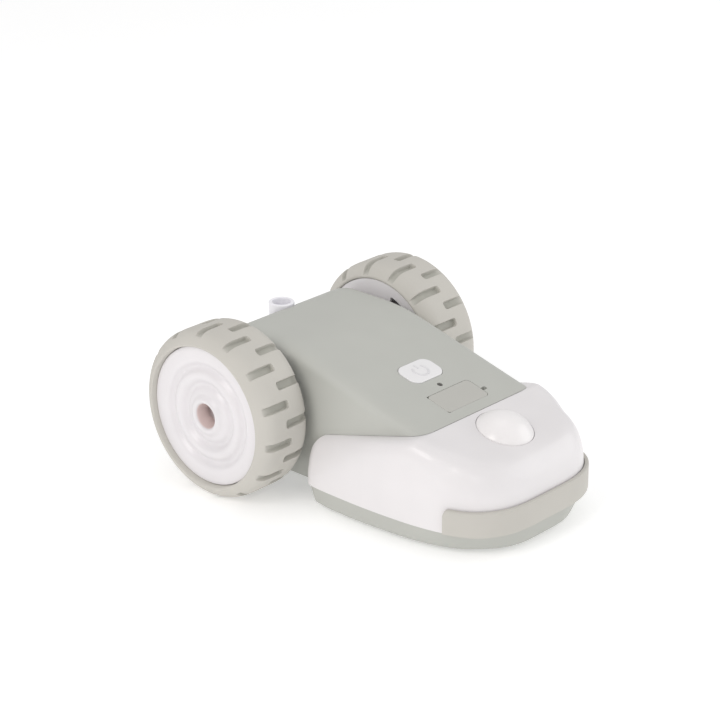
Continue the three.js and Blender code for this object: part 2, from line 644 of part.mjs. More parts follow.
function addDoor() {
  const half = DOOR.halfWidth - GAP;
  const top = FLOOR_TOP_Z - 0.1;
  const [mouthFront, mouthBack] = [MOUTH.y - MOUTH.halfDepth, MOUTH.y + MOUTH.halfDepth];
  const neckHalf = MOUTH.halfWidth + 2;
  const parts = [
    box(-half, half, DOOR.front + GAP, DOOR.back - 3.4, FLOOR_Z, top),
    box(-neckHalf, neckHalf, mouthFront - 2, mouthBack + 2, FLOOR_Z + 1, 16),
    bar(1.4, -half, half, DOOR_AXIS.y, DOOR_AXIS.z),
    box(-half, half, DOOR.back - 3.8, DOOR_AXIS.y, FLOOR_Z + 0.3, top - 0.2),
  ];
  const mouth = box(-MOUTH.halfWidth, MOUTH.halfWidth, mouthFront, mouthBack, 0, 30);
  const lip = box(-20, 20, DOOR.front - 1, DOOR.front + 3, FLOOR_Z - 1, FLOOR_Z + 1.6);
  add('filter_door', carve(parts, [mouth, lip]), 'shell');

  const flapHalf = MOUTH.halfWidth + 1;
  const leaf = box(-flapHalf, flapHalf, mouthFront - 1, FLAP_AXIS.y, 16.4, 17.8);
  const pin = bar(1.1, -flapHalf, flapHalf, FLAP_AXIS.y, FLAP_AXIS.z, 12);
  add('intake_flap', carve([leaf, pin]), 'rubber');
}

function addLatch() {
  const body = box(-LATCH.halfWidth, LATCH.halfWidth, LATCH.front, DOOR.front - GAP, FLOOR_Z, LATCH.top);
  const tongue = box(-10, 10, DOOR.front - 2, DOOR.front + 2, FLOOR_Z, FLOOR_Z + 1.2);
  const grip = [4, 7, 10].map((way) => box(-9, 9, LATCH.front + way, LATCH.front + way + 1, 3, 5.5));
  add('door_latch', carve([body, tongue], grip), 'tyre');
}

// ---------------------------------------------------------------- electronics

// Height of a sheet that runs parallel to the deck, a given depth below it.
function sheetHeight(y, depth) {
  return DECK_Z0 + DECK_SLOPE * y - depth / Math.cos(DECK_ANGLE);
}

function dryBoxForm(inset, depth) {
  const [y0, y1] = [DRY_BOX.front + inset, DRY_BOX.back - inset];
  const bottom = DRY_BOX.bottom + inset;
  const outline = [[y0, bottom], [y1, bottom], [y1, sheetHeight(y1, depth)], [y0, sheetHeight(y0, depth)]];
  return sidePrism(outline, -DRY_BOX.halfWidth + inset, DRY_BOX.halfWidth - inset);
}

// A sheet parallel to the deck, between two depths below it.
function deckSheet(halfWidth, y0, y1, upper, lower) {
  const under = [[y0, sheetHeight(y0, lower)], [y1, sheetHeight(y1, lower)]];
  const over = [[y1, sheetHeight(y1, upper)], [y0, sheetHeight(y0, upper)]];
  return sidePrism([...under, ...over], -halfWidth, halfWidth);
}

function addDryBox() {
  const { halfWidth, front, back, cover } = DRY_BOX;
  const wall = 2.5;
  add('dry_box', carve([dryBoxForm(0, cover)], [dryBoxForm(wall, cover - 10)]), 'black');
  const gasket = deckSheet(halfWidth, front, back, cover - 1.3, cover - 0.3);
  const window = deckSheet(halfWidth - wall, front + wall, back - wall, cover - 3, cover + 2);
  add('dry_box_gasket', carve([gasket], [window]), 'rubber');
  const lid = deckSheet(halfWidth, front, back, cover - 4, cover - 1.6);
  const buttonHole = onDeck(post(9.4, 0, 0, -30, -5), 0, BUTTON.y);
  add('dry_box_lid', carve([lid], [buttonHole]), 'black');
}

function addElectronics() {
  const underButton = deckGroup(0, BUTTON.y);
  const seat = 3.4 - DRY_BOX.cover;
  add('button_membrane', post(9, 0, 0, seat, seat + 1), 'rubber', underButton);
  add('tact_switch', box(-3, 3, -3, 3, -19.4, -15.4), 'black', underButton);
  add('control_board', deckSheet(40, -80, -13, 19.8, 21.4), 'board');
  for (let i = 0; i < CELLS.count; i += 1) {
    const cell = add(`battery_cell_${i + 1}`, bar(CELLS.radius, -CELLS.halfLength, CELLS.halfLength), 'cell');
    cell.position.set(0, i * CELLS.pitch, DRY_BOX.bottom + CELLS.radius + WALL);
  }
}

// ---------------------------------------------------------------- drive

// A spur gear round the X axis, with slim straight-sided teeth; at turn 0 a tooth points along +Y.
function gear(teeth, turn, x0, x1) {
  const pitch = (GEAR_MODULE * teeth) / 2;
  const outer = pitch + 1.1;
  const root = pitch - 1.5;
  const points = [];
  for (let i = 0; i < teeth; i += 1) {
    const middle = (i * 2 * Math.PI) / teeth + turn;
    for (const [radius, offset] of [[root, -0.8], [outer, -0.35], [outer, 0.35], [root, 0.8]]) {
      const angle = middle + (offset * GEAR_MODULE) / pitch;
      points.push([radius * Math.cos(angle), radius * Math.sin(angle)]);
    }
  }
  return sidePrism(points, x0, x1);
}

// The round cup of the gear case, from x0 to x1, grown or shrunk.
function gearCup(grow, pinionY, x0, x1) {
  return carve([bar(27.5 + grow, x0, x1, 0, 0, 24), bar(12.5 + grow, x0, x1, pinionY)]);
}

function addDrive(side, hand) {
  const place = axleGroup(side);
  const pinionY = -side * PINION_DISTANCE;
  const pinionPlace = groupAt(0, pinionY, 0, place);
  const bore = bar(AXLE_RADIUS + 0.3, -100, 100);
  const wheelGear = gear(GEAR_TEETH, 0, GEAR_X, GEAR_X + GEAR_WIDTH);
  add(`${hand}_drive_gear`, carve([wheelGear], [bore]), 'white', place);

  const pinion = gear(PINION_TEETH, Math.PI / PINION_TEETH, GEAR_X - 0.5, GEAR_X + GEAR_WIDTH + 0.5);
  const shaft = bar(1.8, 46, GEAR_X + 3, 0, 0, 12);
  add(`${hand}_motor_pinion`, carve([pinion, shaft]), 'brass', pinionPlace);
  const motor = carve([bar(13.5, 18, 51.6)], [bar(2.3, 44, 60, 0, 0, 12)]);
  add(`${hand}_drive_motor`, motor, 'steel', pinionPlace);

  const holes = [
    gearCup(-2, pinionY, GEAR_X - 2, GEAR_X + 20),
    bar(AXLE_RADIUS + GAP, 40, 70),
    bar(3, 40, 70, pinionY, 0, 12),
  ];
  add(`${hand}_gear_case`, carve([gearCup(0, pinionY, GEAR_X - 4, GEAR_X + 8)], holes), 'black', place);
  add(`${hand}_axle_bush`, carve([bar(8, 68, 78.5), bar(10, 76.4, 78.5)], [bore]), 'brass', place);
}

// ---------------------------------------------------------------- wheels

// Distance from the middle of the machine of a point that lies a given way into the tyre.
function tyreX(into) {
  return TYRE_INNER_X + into;
}

function tyreProfile() {
  const rest = [...TYRE_SHOULDER].reverse().map(([into, radius]) => [TYRE_WIDTH - into, radius]);
  return [...TYRE_SHOULDER, ...rest].map(([into, radius]) => [tyreX(into), radius]);
}

// The form of one slot, standing up along Z. It runs flat from its closed end at `end` and dives
// over the shoulder at `edge`, the way that `out` (1 or -1) points.
function treadSlot(end, edge, out) {
  const { run, drop } = TREAD_DIVE;
  const beyond = 5;
  const floor = [
    [end, TREAD_SLOT_FLOOR], [edge - out * run, TREAD_SLOT_FLOOR], [edge, TREAD_SLOT_FLOOR - drop],
    [edge + out * beyond, TREAD_SLOT_FLOOR - drop - beyond / 2],
  ];
  const outline = [...floor, [edge + out * beyond, WHEEL_RADIUS + 15], [end, WHEEL_RADIUS + 15]];
  const shape = new THREE.Shape(outline.map(([into, radius]) => new THREE.Vector2(tyreX(into), radius)));
  const slot = new THREE.ExtrudeGeometry(shape, { depth: TREAD_SLOT_WIDTH, bevelEnabled: false });
  return slot.rotateX(Math.PI / 2).translate(0, TREAD_SLOT_WIDTH / 2, 0);
}

function treadSlots() {
  const step = (2 * Math.PI) / TREAD_SLOTS;
  const slots = [];
  for (let i = 0; i < TREAD_SLOTS; i += 1) {
    slots.push(treadSlot(TREAD_ROW_ENDS.outer, TYRE_WIDTH, 1).rotateX(Math.PI / 2 - i * step));
    slots.push(treadSlot(TREAD_ROW_ENDS.inner, 0, -1).rotateX(Math.PI / 2 - (i + 0.5) * step));
  }
  return slots;
}

// The rim as (depth behind its face, radius): a ringed face with a hub, a sleeve and a barrel.
function rimProfile() {
  const face = tyreX(TYRE_WIDTH) - RIM_INSET;
  const points = [
    [0, RIM_RADIUS], [0, 48.5], [2.2, 43.5], [-0.4, 36], [2.6, 26.5], [-2, 15.5], [-2, 10.8],
    [18, 10.8], [18, 5.3], [22, 5.3], [22, 14.5], [6, 14.5], [5.2, 58.6], [44, 58.6], [44, RIM_RADIUS],
  ];
  return points.map(([depth, radius]) => [face - depth, radius]);
}

function innerDiscShape() {
  const disc = new THREE.Shape();
  disc.absarc(0, 0, RIM_RADIUS, 0, 2 * Math.PI);
  const hub = new THREE.Path();
  hub.absarc(0, 0, AXLE_RADIUS + 0.3, 0, 2 * Math.PI, true);
  disc.holes.push(hub);
  const { count, turn, inner, outer, halfAngle } = WINDOW;
  for (let i = 0; i < count; i += 1) {
    const corner = (radius, degrees) => {
      const angle = THREE.MathUtils.degToRad(turn + (i * 360) / count + degrees);
      return new THREE.Vector2(radius * Math.cos(angle), radius * Math.sin(angle));
    };
    const arc = [-1, -1 / 3, 1 / 3, 1].map((share) => corner(outer, share * halfAngle));
    disc.holes.push(new THREE.Path([corner(inner, -halfAngle), ...arc, corner(inner, halfAngle)]));
  }
  return disc;
}

function addWheel(side, hand) {
  const place = axleGroup(side);
  const tyre = add(`${hand}_tyre`, carve([turned(tyreProfile())], treadSlots()), 'tyre', place);
  tyre.rotation.x = THREE.MathUtils.degToRad(-side * TREAD_PHASE[hand]);
  add(`${hand}_wheel_rim`, geometryOf(solid(turned(rimProfile()))), 'white', place);

  const plateForm = plate(innerDiscShape(), 0, DISC_THICKNESS, 16).rotateY(Math.PI / 2);
  const disc = add(`${hand}_wheel_disc`, plateForm, 'white', place);
  disc.position.x = tyreX(1.1);

  const reach = tyreX(TYRE_WIDTH) - RIM_INSET - 16.5;
  add(`${hand}_axle`, bar(AXLE_RADIUS, 48, reach, 0, 0, 20), 'steel', place);
  add(`${hand}_axle_nut`, bar(8.4, reach + GAP, reach + 5, 0, 0, 6), 'steel', place);
}

// ---------------------------------------------------------------- support rollers and screws

function addRoller(side, hand) {
  const place = groupAt(side * ROLLER.x, ROLLER.y, ROLLER.radius);
  const half = ROLLER.width / 2;
  const wheel = bar(ROLLER.radius, -half, half, 0, 0, 24);
  add(`${hand}_support_roller`, carve([wheel], [bar(2.3, -20, 20, 0, 0, 12)]), 'white', place);
  add(`${hand}_roller_pin`, bar(1.9, -9.4, 9.4, 0, 0, 12), 'steel', place);
}

function addScrews() {
  SCREWS.forEach(([x, y], i) => {
    const head = post(3.2, 0, 0, 1.2, 4, 12);
    const thread = post(1.7, 0, 0, 3.8, 19.5, 8);
    const cross = [box(-0.5, 0.5, -2, 2, 0, 2.4), box(-2, 2, -0.5, 0.5, 0, 2.4)];
    add(`base_screw_${i + 1}`, carve([head, thread], cross), 'steel', groupAt(x, y, FLOOR_Z));
  });
}

addUpperShell();
addNoseCover();
addBasePan();
addBumper();
addButton();
addStatusLight();
addPortFlap();
addChargeSocket();
addLamp();
addPump();
addOutlet();
addBasket();
addDoor();
addLatch();
addDryBox();
addElectronics();
for (const [side, hand] of [[-1, 'left'], [1, 'right']]) {
  addDrive(side, hand);
  addWheel(side, hand);
  addRoller(side, hand);
}
addScrews();

export default cleaner;
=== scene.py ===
"""A cordless robotic pool cleaner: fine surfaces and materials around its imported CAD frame.

Shapes are worked out in millimetres and turned into metres when a mesh is made. The nose points
along -Y, the wheels turn on an axis along X, and the floor is at z = 0.
"""
import json
import math

import bmesh
import bpy
import numpy as np
from mathutils import Matrix, Vector


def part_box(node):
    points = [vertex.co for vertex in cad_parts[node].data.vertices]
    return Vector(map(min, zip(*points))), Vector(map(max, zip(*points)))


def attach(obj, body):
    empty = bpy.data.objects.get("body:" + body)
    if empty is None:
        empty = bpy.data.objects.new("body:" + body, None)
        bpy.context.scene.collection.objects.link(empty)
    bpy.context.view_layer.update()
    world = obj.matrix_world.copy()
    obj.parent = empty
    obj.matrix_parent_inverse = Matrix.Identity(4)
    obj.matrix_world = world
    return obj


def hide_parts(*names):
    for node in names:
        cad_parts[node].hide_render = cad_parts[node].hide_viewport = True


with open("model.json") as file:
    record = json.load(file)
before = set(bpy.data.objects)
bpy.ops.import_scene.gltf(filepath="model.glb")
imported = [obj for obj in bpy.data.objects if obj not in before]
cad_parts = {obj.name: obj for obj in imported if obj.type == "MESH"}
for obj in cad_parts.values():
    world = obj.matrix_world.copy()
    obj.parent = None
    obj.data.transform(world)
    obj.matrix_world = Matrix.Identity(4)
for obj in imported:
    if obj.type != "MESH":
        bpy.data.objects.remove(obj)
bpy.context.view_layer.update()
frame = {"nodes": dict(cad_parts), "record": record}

MM = 0.001
GAP = 0.4  # between pieces
SEAM_GAP = 0.15  # between the nose cover and the shell
WALL = 3.0
SIDES = {"left": -1, "right": 1}


def corners(node):
    """Lowest and highest corner of a CAD node, in millimetres."""
    low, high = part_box(node)
    return np.array(low) / MM, np.array(high) / MM


def middle(node):
    low, high = corners(node)
    return (low + high) / 2


# ---------------------------------------------------------------- driving dimensions

# Wheels
AXLE_Y, AXLE_Z = middle("left_axle")[1:]
WHEEL_RADIUS = AXLE_Z
TYRE_INNER_X = corners("right_tyre")[0][0]
TYRE_OUTER_X = corners("right_tyre")[1][0]
TYRE_WIDTH = TYRE_OUTER_X - TYRE_INNER_X
TYRE_SHOULDER = {"drop": 10.4, "width": 20.0, "power": 3.5}
BEAD = {"radius": 62.3, "edge": 0.9}  # where the tyre sits on its rim
TREAD_SLOTS = 14
TREAD_PHASE = {"left": 18.7, "right": 12.5}
SLOT_HALF_WIDTH = 3.6
SLOT_CORNER = 2.4
SLOT_DEPTH = 4.2
SLOT_FLOOR = WHEEL_RADIUS - SLOT_DEPTH
SLOT_DIVES = {"inner": (12.0, 6.0), "outer": (5.0, 0.8)}  # run and drop of the slots at each shoulder
SLOT_ROWS = ((25.0, 70.0, 0.0), (-13.0, 31.0, 0.5))  # start and end across the tyre, and shift in steps
RIM = {"radius": 61.9, "depth": 44.0, "barrel": 58.6, "web": 6.8, "hub": 14.5, "hub_depth": 22.0}
RIM_FACE = 4.9  # the rim's face lies this far inside the tyre's side
HUB_BORE = {"radius": 10.8, "depth": 18.0}
AXLE_HOLE = 5.3
WINDOWS = {"count": 4, "turn": 35.0, "inner": 26.0, "outer": 52.8, "half_angle": 17.0, "corner": 1.4}
DISC = {"half_thickness": 1.8, "edge": 0.4}

# How deep the rim's ringed face lies at each radius, as (radius, depth)
RIM_PROFILE = (
    (61.7, 0.9), (61.4, 0.25), (60.8, 0.0), (57, 0.0), (52, 0.05), (49, 0.3), (47, 1.3), (45, 3.2),
    (43, 4.2), (41, 3.2), (39, 1.2), (37, 0.2), (34.5, 0.0), (32.5, 0.5), (30.5, 2.1), (28.8, 4.0),
    (27, 5.0), (25.2, 4.4), (23.2, 2.7), (21, 1.5), (19, 0.8), (17.2, -0.4), (15.6, -1.6), (14, -2.1),
    (12.6, -2.0), (11.5, -1.2), (HUB_BORE["radius"], 0.3),
)

# Upper shell
DECK_Z0 = 117.24  # height of the sloping deck's plane at y = 0
DECK_SLOPE = 0.2545
DECK_ANGLE = math.atan(DECK_SLOPE)
CROWN_START_Y, CROWN_Y = 30.0, 78.0
TAIL_START_Y, TAIL_RADIUS, TAIL_CORNER = 110.0, 40.0, 14.0
TAIL_Y = TAIL_START_Y + TAIL_RADIUS
SHELL_FRONT_Y = -92.0
SHELL_FOOT_Z = 12.0
WAIST_X, WAIST_Z = 76.5, 58.0
FOOT_X = 66.5
RIDGE_X, RIDGE_WIDTH, RIDGE_DROP, RIDGE_FULLNESS = 72.0, 19.5, 14.0, 3.1
RIDGE_STEPS = 22
BUSH_HOLE = 8.4

# Nose cover, with its seam against the shell as (y, z) points
SEAM_TOP = (-91.7, 93.7)
SEAM_REAR = (13.5, 64.8)
SEAM_CORNER = (19.0, 58.0)
SEAM_HEEL = (24.0, 31.0)
SEAM_FOOT = (20.0, -50.0)
SEAM_BEND = {"start": (-4, 1.1), "knee": (2.6, -0.7), "end": (0.9, -4)}  # rounds off the rear corner
COVER_FOOT_Z = 22.0
NOSE_BACK_Y = 25.5
BACK_WALL_Y = 18.5
WING_START_Y = -130.0
SHOULDER = 26.0
SHOULDER_FOOT_Z = 30.0
NOSE_FULLNESS, WING_GAIN, REAR_LOSS = 2.9, 2.1, 3.4  # how square the shoulder's curl is
NOSE_OUTLINE = (
    (0, -167.5), (30, -167), (49.5, -163), (64.5, -154.5), (75, -142.5), (82.8, -123.5), (88, -100),
    (91, -72), (92.6, -40), (92.6, -10), (92, 8), (90, 18.5), (82, NOSE_BACK_Y),
)
BUMPER = {"top": 45.0, "proud": 4.0, "round": 1.6, "back": -125.0, "end_steps": 4, "end_trim": 4.0}

# Base pan
FLOOR_Z = corners("base_pan")[0][2]
PAN_TOP_Z = COVER_FOOT_Z - GAP
PAN_WALL_Y = 18.2
PAN_LEVELS = (  # height, inset of the outline, and extra inset at its corners
    (FLOOR_Z, 7, 8), (5.0, 4.6, 8), (6.5, 3, 8), (9.5, 2.2, 6.2), (13, 1.6, 4.5), (PAN_TOP_Z, 1, 1),
)
DOOR = {"half": 52.0, "front": -100.0, "back": -4.0}
LATCH = {"half": 14.4, "front": -120.6, "top": 7.3}
INTAKE = {"half": 12.0, "y": 106.0}
ROLLER = {"x": 38.0, "y": -128.0, "z": 7.0, "pin_hole": 2.4}
ROLLER_WELL = {"half_width": 7, "half_length": 9, "top": 14}
ROLLER_BLOCK = {"half": 11, "top": 16}
SCREWS = ((-74, -70), (74, -70), (-74, 2), (74, 2))
SCREW = {"post": 5, "head": 3.6, "head_depth": 4.5, "hole": 2.1, "top": 20}

# Fittings. Their x and y are places on the deck, except that PULL's y and SOCKET's x are from the
# middle of the port. Heights and depths are square to the deck, but the nozzle's are above the floor.
BUTTON = {"x": 0.0, "y": -27.0, "width": 39.0, "depth": 26.0, "corner": 9.0, "proud": 0.8}
BUTTON_FLANGE = {"wider": 4, "bottom": -6, "top": -4.4}
BUTTON_STEM = {"radius": 3, "bottom": -11.8}
PORT = {"x": 1.0, "y": -68.5, "width": 52.0, "depth": 26.0, "corner": 4.5, "hinge_corner": 1.2, "thick": 2.2}
PULL = {"x": 29.5, "y": -4.0, "length": 6.0, "width": 4.0, "corner": 1.6, "depth": 4.4}
SOCKET = {"x": -6.0, "hole": 7.4, "plug": 5.2}
PORT_WELL = {"width": 34, "depth": 18, "corner": 4, "floor": -6}  # round the socket, under the recess
PORT_BLOCK = {"half_width": 34, "half_depth": 17, "bottom": -9, "top": -1}
LIGHT_Y, LIGHT_HOLE = -49.0, 2.5
LAMP = {"y": -120.5, "radius": 24.5, "height": 12.5, "thick": 2.0}
SYMBOL = {"stroke": 1.15, "radius": 7.0, "rise": 0.2, "gap": 84.0, "bar_start": 2.5, "bar_end": 8.5}
NOZZLE_Y = middle("outlet_nozzle")[1]
NOZZLE_TOP = corners("outlet_nozzle")[1][2]
NOZZLE = {"radius": 11.5, "seat": 106.0, "foot": 96.0, "pipe": 9.8, "bore": 8.3}
POCKET = {"wall": 6.0, "gap": 2.6}  # round the nozzle
CUT_UNDER, CUT_OVER = -12, 5  # how far the cuts through the deck reach below and above it


# ---------------------------------------------------------------- small maths

def smoothstep(value, low, high):
    share = np.clip((value - low) / (high - low), 0, 1)
    return share * share * (3 - 2 * share)


def catmull(points, share):
    """A point of the smooth curve through the given points, at a share of its length."""
    points = np.asarray(points, float)
    place = share * (len(points) - 1)
    cell = min(int(place), len(points) - 2)
    t = place - cell
    p0, p1, p2, p3 = (points[min(max(cell + k, 0), len(points) - 1)] for k in (-1, 0, 1, 2))
    v0, v1 = (p2 - p0) / 2, (p3 - p1) / 2
    return (2 * p1 - 2 * p2 + v0 + v1) * t**3 + (3 * p2 - 3 * p1 - 2 * v0 - v1) * t**2 + v0 * t + p1


def smooth_curve(points, count):
    return [catmull(points, i / (count - 1)) for i in range(count)]


def quarter_turn(steps):
    return [math.pi / 2 * i / steps for i in range(steps + 1)]


def rounded_outline(width, depth, corner):
    """Points of a rounded rectangle in (x, y), anticlockwise."""
    steps = 10
    outline = []
    for sx, sy, start in ((1, 1, 0), (-1, 1, 90), (-1, -1, 180), (1, -1, 270)):
        for i in range(steps + 1):
            angle = math.radians(start + 90 * i / steps)
            x = sx * (width / 2 - corner) + corner * math.cos(angle)
            y = sy * (depth / 2 - corner) + corner * math.sin(angle)
            outline.append((x, y))
    return outline


# ---------------------------------------------------------------- mesh tools

def make(name, points, faces):
    """A mesh object from points in millimetres, with its faces turned outwards."""
    mesh = bpy.data.meshes.new(name)
    mesh.from_pydata((np.asarray(points, float) * MM).tolist(), [], faces)
    piece = bpy.data.objects.new(name, mesh)
    bpy.context.scene.collection.objects.link(piece)
    turn_outwards(piece)
    return piece


def turn_outwards(piece):
    work = bmesh.new()
    work.from_mesh(piece.data)
    bmesh.ops.recalc_face_normals(work, faces=work.faces)
    work.to_mesh(piece.data)
    work.free()


def loft(name, rings):
    """Skins a stack of closed rings and puts a flat face on each end."""
    count = len(rings[0])
    points = [point for ring in rings for point in ring]
    faces = []
    for r in range(len(rings) - 1):
        for i in range(count):
            a, b = r * count + i, r * count + (i + 1) % count
            faces.append((a, b, b + count, a + count))
    faces.append(tuple(range(count))[::-1])
    faces.append(tuple(range((len(rings) - 1) * count, len(rings) * count)))
    return make(name, points, faces)


def lathe(name, profile, segments):
    """Turns a closed loop of (along, radius) points about the X axis."""
    points, faces = [], []
    count = len(profile)
    for s in range(segments):
        angle = 2 * math.pi * s / segments
        for along, radius in profile:
            points.append((along, radius * math.cos(angle), radius * math.sin(angle)))
    for s in range(segments):
        after = (s + 1) % segments
        for i in range(count):
            j = (i + 1) % count
            faces.append((s * count + i, s * count + j, after * count + j, after * count + i))
    piece = make(name, points, faces)
    work = bmesh.new()
    work.from_mesh(piece.data)
    bmesh.ops.remove_doubles(work, verts=work.verts, dist=1e-6)
    work.to_mesh(piece.data)
    work.free()
    return piece


def box(x0, x1, y0, y1, z0, z1):
    return loft("box", [[(x0, y0, z), (x1, y0, z), (x1, y1, z), (x0, y1, z)] for z in (z0, z1)])


def post(radius, x, y, z0, z1, segments=64):
    """A round upright post."""
    turns = [2 * math.pi * i / segments for i in range(segments)]
    circle = [(x + radius * math.cos(t), y + radius * math.sin(t)) for t in turns]
    return loft("post", [[(*point, z) for point in circle] for z in (z0, z1)])


def bar(radius, x0, x1, y, z, segments=48):
    """A round bar along X."""
    turns = [2 * math.pi * i / segments for i in range(segments)]
    circle = [(y + radius * math.cos(t), z + radius * math.sin(t)) for t in turns]
    return loft("bar", [[(x, *point) for point in circle] for x in (x0, x1)])


def side_prism(outline):
    """An outline in (y, z) pushed through the whole machine along X."""
    return loft("prism", [[(x, y, z) for y, z in outline] for x in (-150, 150)])


def plate(outline, z0, z1):
    """A flat plate with an outline in (x, y)."""
    return loft("plate", [[(x, y, z) for x, y in outline] for z in (z0, z1)])


def move(piece, matrix):
    piece.data.transform(matrix)
    return piece


def on_deck(piece, x, y):
    """Puts a piece whose Z is the deck's outward direction on the deck at (x, y)."""
    place = Vector((x, y, DECK_Z0 + DECK_SLOPE * y)) * MM
    return move(piece, Matrix.Translation(place) @ Matrix.Rotation(DECK_ANGLE, 4, "X"))


def on_axle(piece):
    return move(piece, Matrix.Translation(Vector((0, AXLE_Y, AXLE_Z)) * MM))


def upright(piece, x, y):
    """Stands a turned piece, made along X, on end at (x, y)."""
    place = Vector((x, y, 0)) * MM
    return move(piece, Matrix.Translation(place) @ Matrix.Rotation(-math.pi / 2, 4, "Y"))


def settle(piece):
    """Bakes the piece's modifiers into its mesh."""
    graph = bpy.context.evaluated_depsgraph_get()
    mesh = bpy.data.meshes.new_from_object(piece.evaluated_get(graph))
    piece.modifiers.clear()
    old = piece.data
    piece.data = mesh
    bpy.data.meshes.remove(old)
    return piece


def boolean(piece, tools, operation="DIFFERENCE"):
    """Cuts, joins or trims a piece with each tool in turn, and removes the tools."""
    for tool in tools:
        modifier = piece.modifiers.new("cut", "BOOLEAN")
        modifier.operation = operation
        modifier.solver = "EXACT"
        modifier.object = tool
        settle(piece)
        bpy.data.objects.remove(tool)
    return piece


def finish(piece, name, body, slot, replaces=(), angle=32, look=None):
    """Names a finished piece, shades it, gives it its material and ties it to its CAD body.

    A look is named only where it isn't the slot's own.
    """
    piece.name = name
    piece.data.name = name
    piece.data.shade_smooth()
    piece.data.set_sharp_from_angle(angle=math.radians(angle))
    piece.data.materials.clear()
    piece.data.materials.append(material(look or slot))
    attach(piece, body)
    if replaces:
        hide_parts(*replaces)
    return piece


# ---------------------------------------------------------------- materials

# Colour (sRGB), roughness, grain size in metres, grain height in metres and extra settings of each slot,
# and of the power symbol, which lies in the button's slot and is darker as painted shade on its strokes
LOOKS = {
    "grey_shell": ((190, 191, 185), 0.50, 0.00055, 0.000018, {}),
    "base_grey": ((186, 187, 181), 0.55, 0.00055, 0.000018, {}),
    "white_cover": ((231, 228, 229), 0.36, 0.0012, 0.000006, {"Coat Weight": 0.25}),
    "bumper_rubber": ((196, 193, 186), 0.62, 0.0006, 0.00002, {}),
    "button_white": ((238, 237, 238), 0.25, 0.001, 0.000004, {"Coat Weight": 0.3}),
    # painted shade: the power symbol is darker than the button, standing in for the shading on its raised
    # strokes
    "button_symbol_shade": ((224, 223, 225), 0.3, 0.001, 0.000004, {"Coat Weight": 0.3}),
    "clear_light": ((70, 66, 62), 0.2, 0.001, 0.000002, {"Coat Weight": 0.5}),
    "flap_grey": ((190, 189, 183), 0.52, 0.0005, 0.000018, {}),
    "black_plastic": ((38, 39, 42), 0.5, 0.0006, 0.00002, {}),
    "lamp_dome": ((243, 240, 240), 0.3, 0.0015, 0.000003, {"Coat Weight": 0.25, "Coat Roughness": 0.15}),
    "circuit_board": ((31, 107, 58), 0.5, 0.0008, 0.00003, {}),
    "black_rubber": ((44, 44, 44), 0.8, 0.0005, 0.00004, {}),
    "motor_steel": ((178, 180, 184), 0.32, 0.0004, 0.00001, {"Metallic": 1.0}),
    "stainless": ((202, 204, 206), 0.25, 0.0004, 0.000008, {"Metallic": 1.0}),
    "nozzle_white": ((248, 247, 252), 0.3, 0.001, 0.000005, {"Coat Weight": 0.2}),
    "basket_white": ((232, 231, 228), 0.45, 0.0008, 0.00001, {}),
    "latch_grey": ((170, 170, 165), 0.55, 0.0006, 0.00002, {}),
    "cell_wrap": ((47, 111, 176), 0.4, 0.0008, 0.00001, {}),
    "gear_white": ((236, 235, 230), 0.45, 0.0008, 0.00001, {}),
    "brass": ((201, 164, 74), 0.3, 0.0004, 0.000008, {"Metallic": 1.0}),
    "tyre_grey": ((200, 197, 190), 0.78, 0.0005, 0.00003, {}),
    "hub_white": ((229, 226, 228), 0.34, 0.0012, 0.000005, {"Coat Weight": 0.25}),
    "roller_white": ((234, 233, 230), 0.4, 0.0008, 0.00001, {}),
}
FADE = 0.02  # how much the broad colour drift lightens or darkens a surface
DRIFT_SCALE = 28
SHEEN_SPREAD = 0.05
GRAIN_STRENGTH = 0.5
# painted shade: the warm, darker colour inside the hub bores
BORE_SHADE_COLOUR = (228, 210, 207)
# painted shade: the darker, cooler colour on the floors of the tyre slots
SLOT_SHADE_COLOUR = (181, 180, 172)


def linear(channel):
    value = channel / 255
    return value / 12.92 if value <= 0.04045 else ((value + 0.055) / 1.055) ** 2.4


def material(slot):
    """One look: base colour and gloss with a faint broad drift, and a fine moulded grain."""
    name = f"fine_{slot}"
    if name in bpy.data.materials:
        return bpy.data.materials[name]
    colour, roughness, grain, height, extras = LOOKS[slot]
    look = bpy.data.materials.new(name)
    look.use_nodes = True
    nodes, links = look.node_tree.nodes, look.node_tree.links
    shader = nodes["Principled BSDF"]
    place = nodes.new("ShaderNodeTexCoord")

    drift = nodes.new("ShaderNodeTexNoise")
    drift.inputs["Scale"].default_value = DRIFT_SCALE
    drift.inputs["Detail"].default_value = 1
    links.new(place.outputs["Object"], drift.inputs["Vector"])
    tone = nodes.new("ShaderNodeValToRGB")
    base = [linear(channel) for channel in colour]
    for stop, (position, gain) in zip(tone.color_ramp.elements, ((0.2, 1 - FADE), (0.8, 1 + FADE))):
        stop.position = position
        stop.color = (*[min(1, channel * gain) for channel in base], 1)
    links.new(drift.outputs["Fac"], tone.inputs["Fac"])
    links.new(tone.outputs["Color"], shader.inputs["Base Color"])

    speckle = nodes.new("ShaderNodeTexNoise")
    speckle.inputs["Scale"].default_value = 1 / grain
    speckle.inputs["Detail"].default_value = 2
    links.new(place.outputs["Object"], speckle.inputs["Vector"])
    bump = nodes.new("ShaderNodeBump")
    bump.inputs["Strength"].default_value = GRAIN_STRENGTH
    bump.inputs["Distance"].default_value = height
    links.new(speckle.outputs["Fac"], bump.inputs["Height"])
    links.new(bump.outputs["Normal"], shader.inputs["Normal"])
    sheen = nodes.new("ShaderNodeMapRange")
    sheen.inputs["To Min"].default_value = roughness - SHEEN_SPREAD
    sheen.inputs["To Max"].default_value = roughness + SHEEN_SPREAD
    links.new(drift.outputs["Fac"], sheen.inputs["Value"])
    links.new(sheen.outputs["Result"], shader.inputs["Roughness"])
    for socket, value in extras.items():
        shader.inputs[socket].default_value = value
    return look


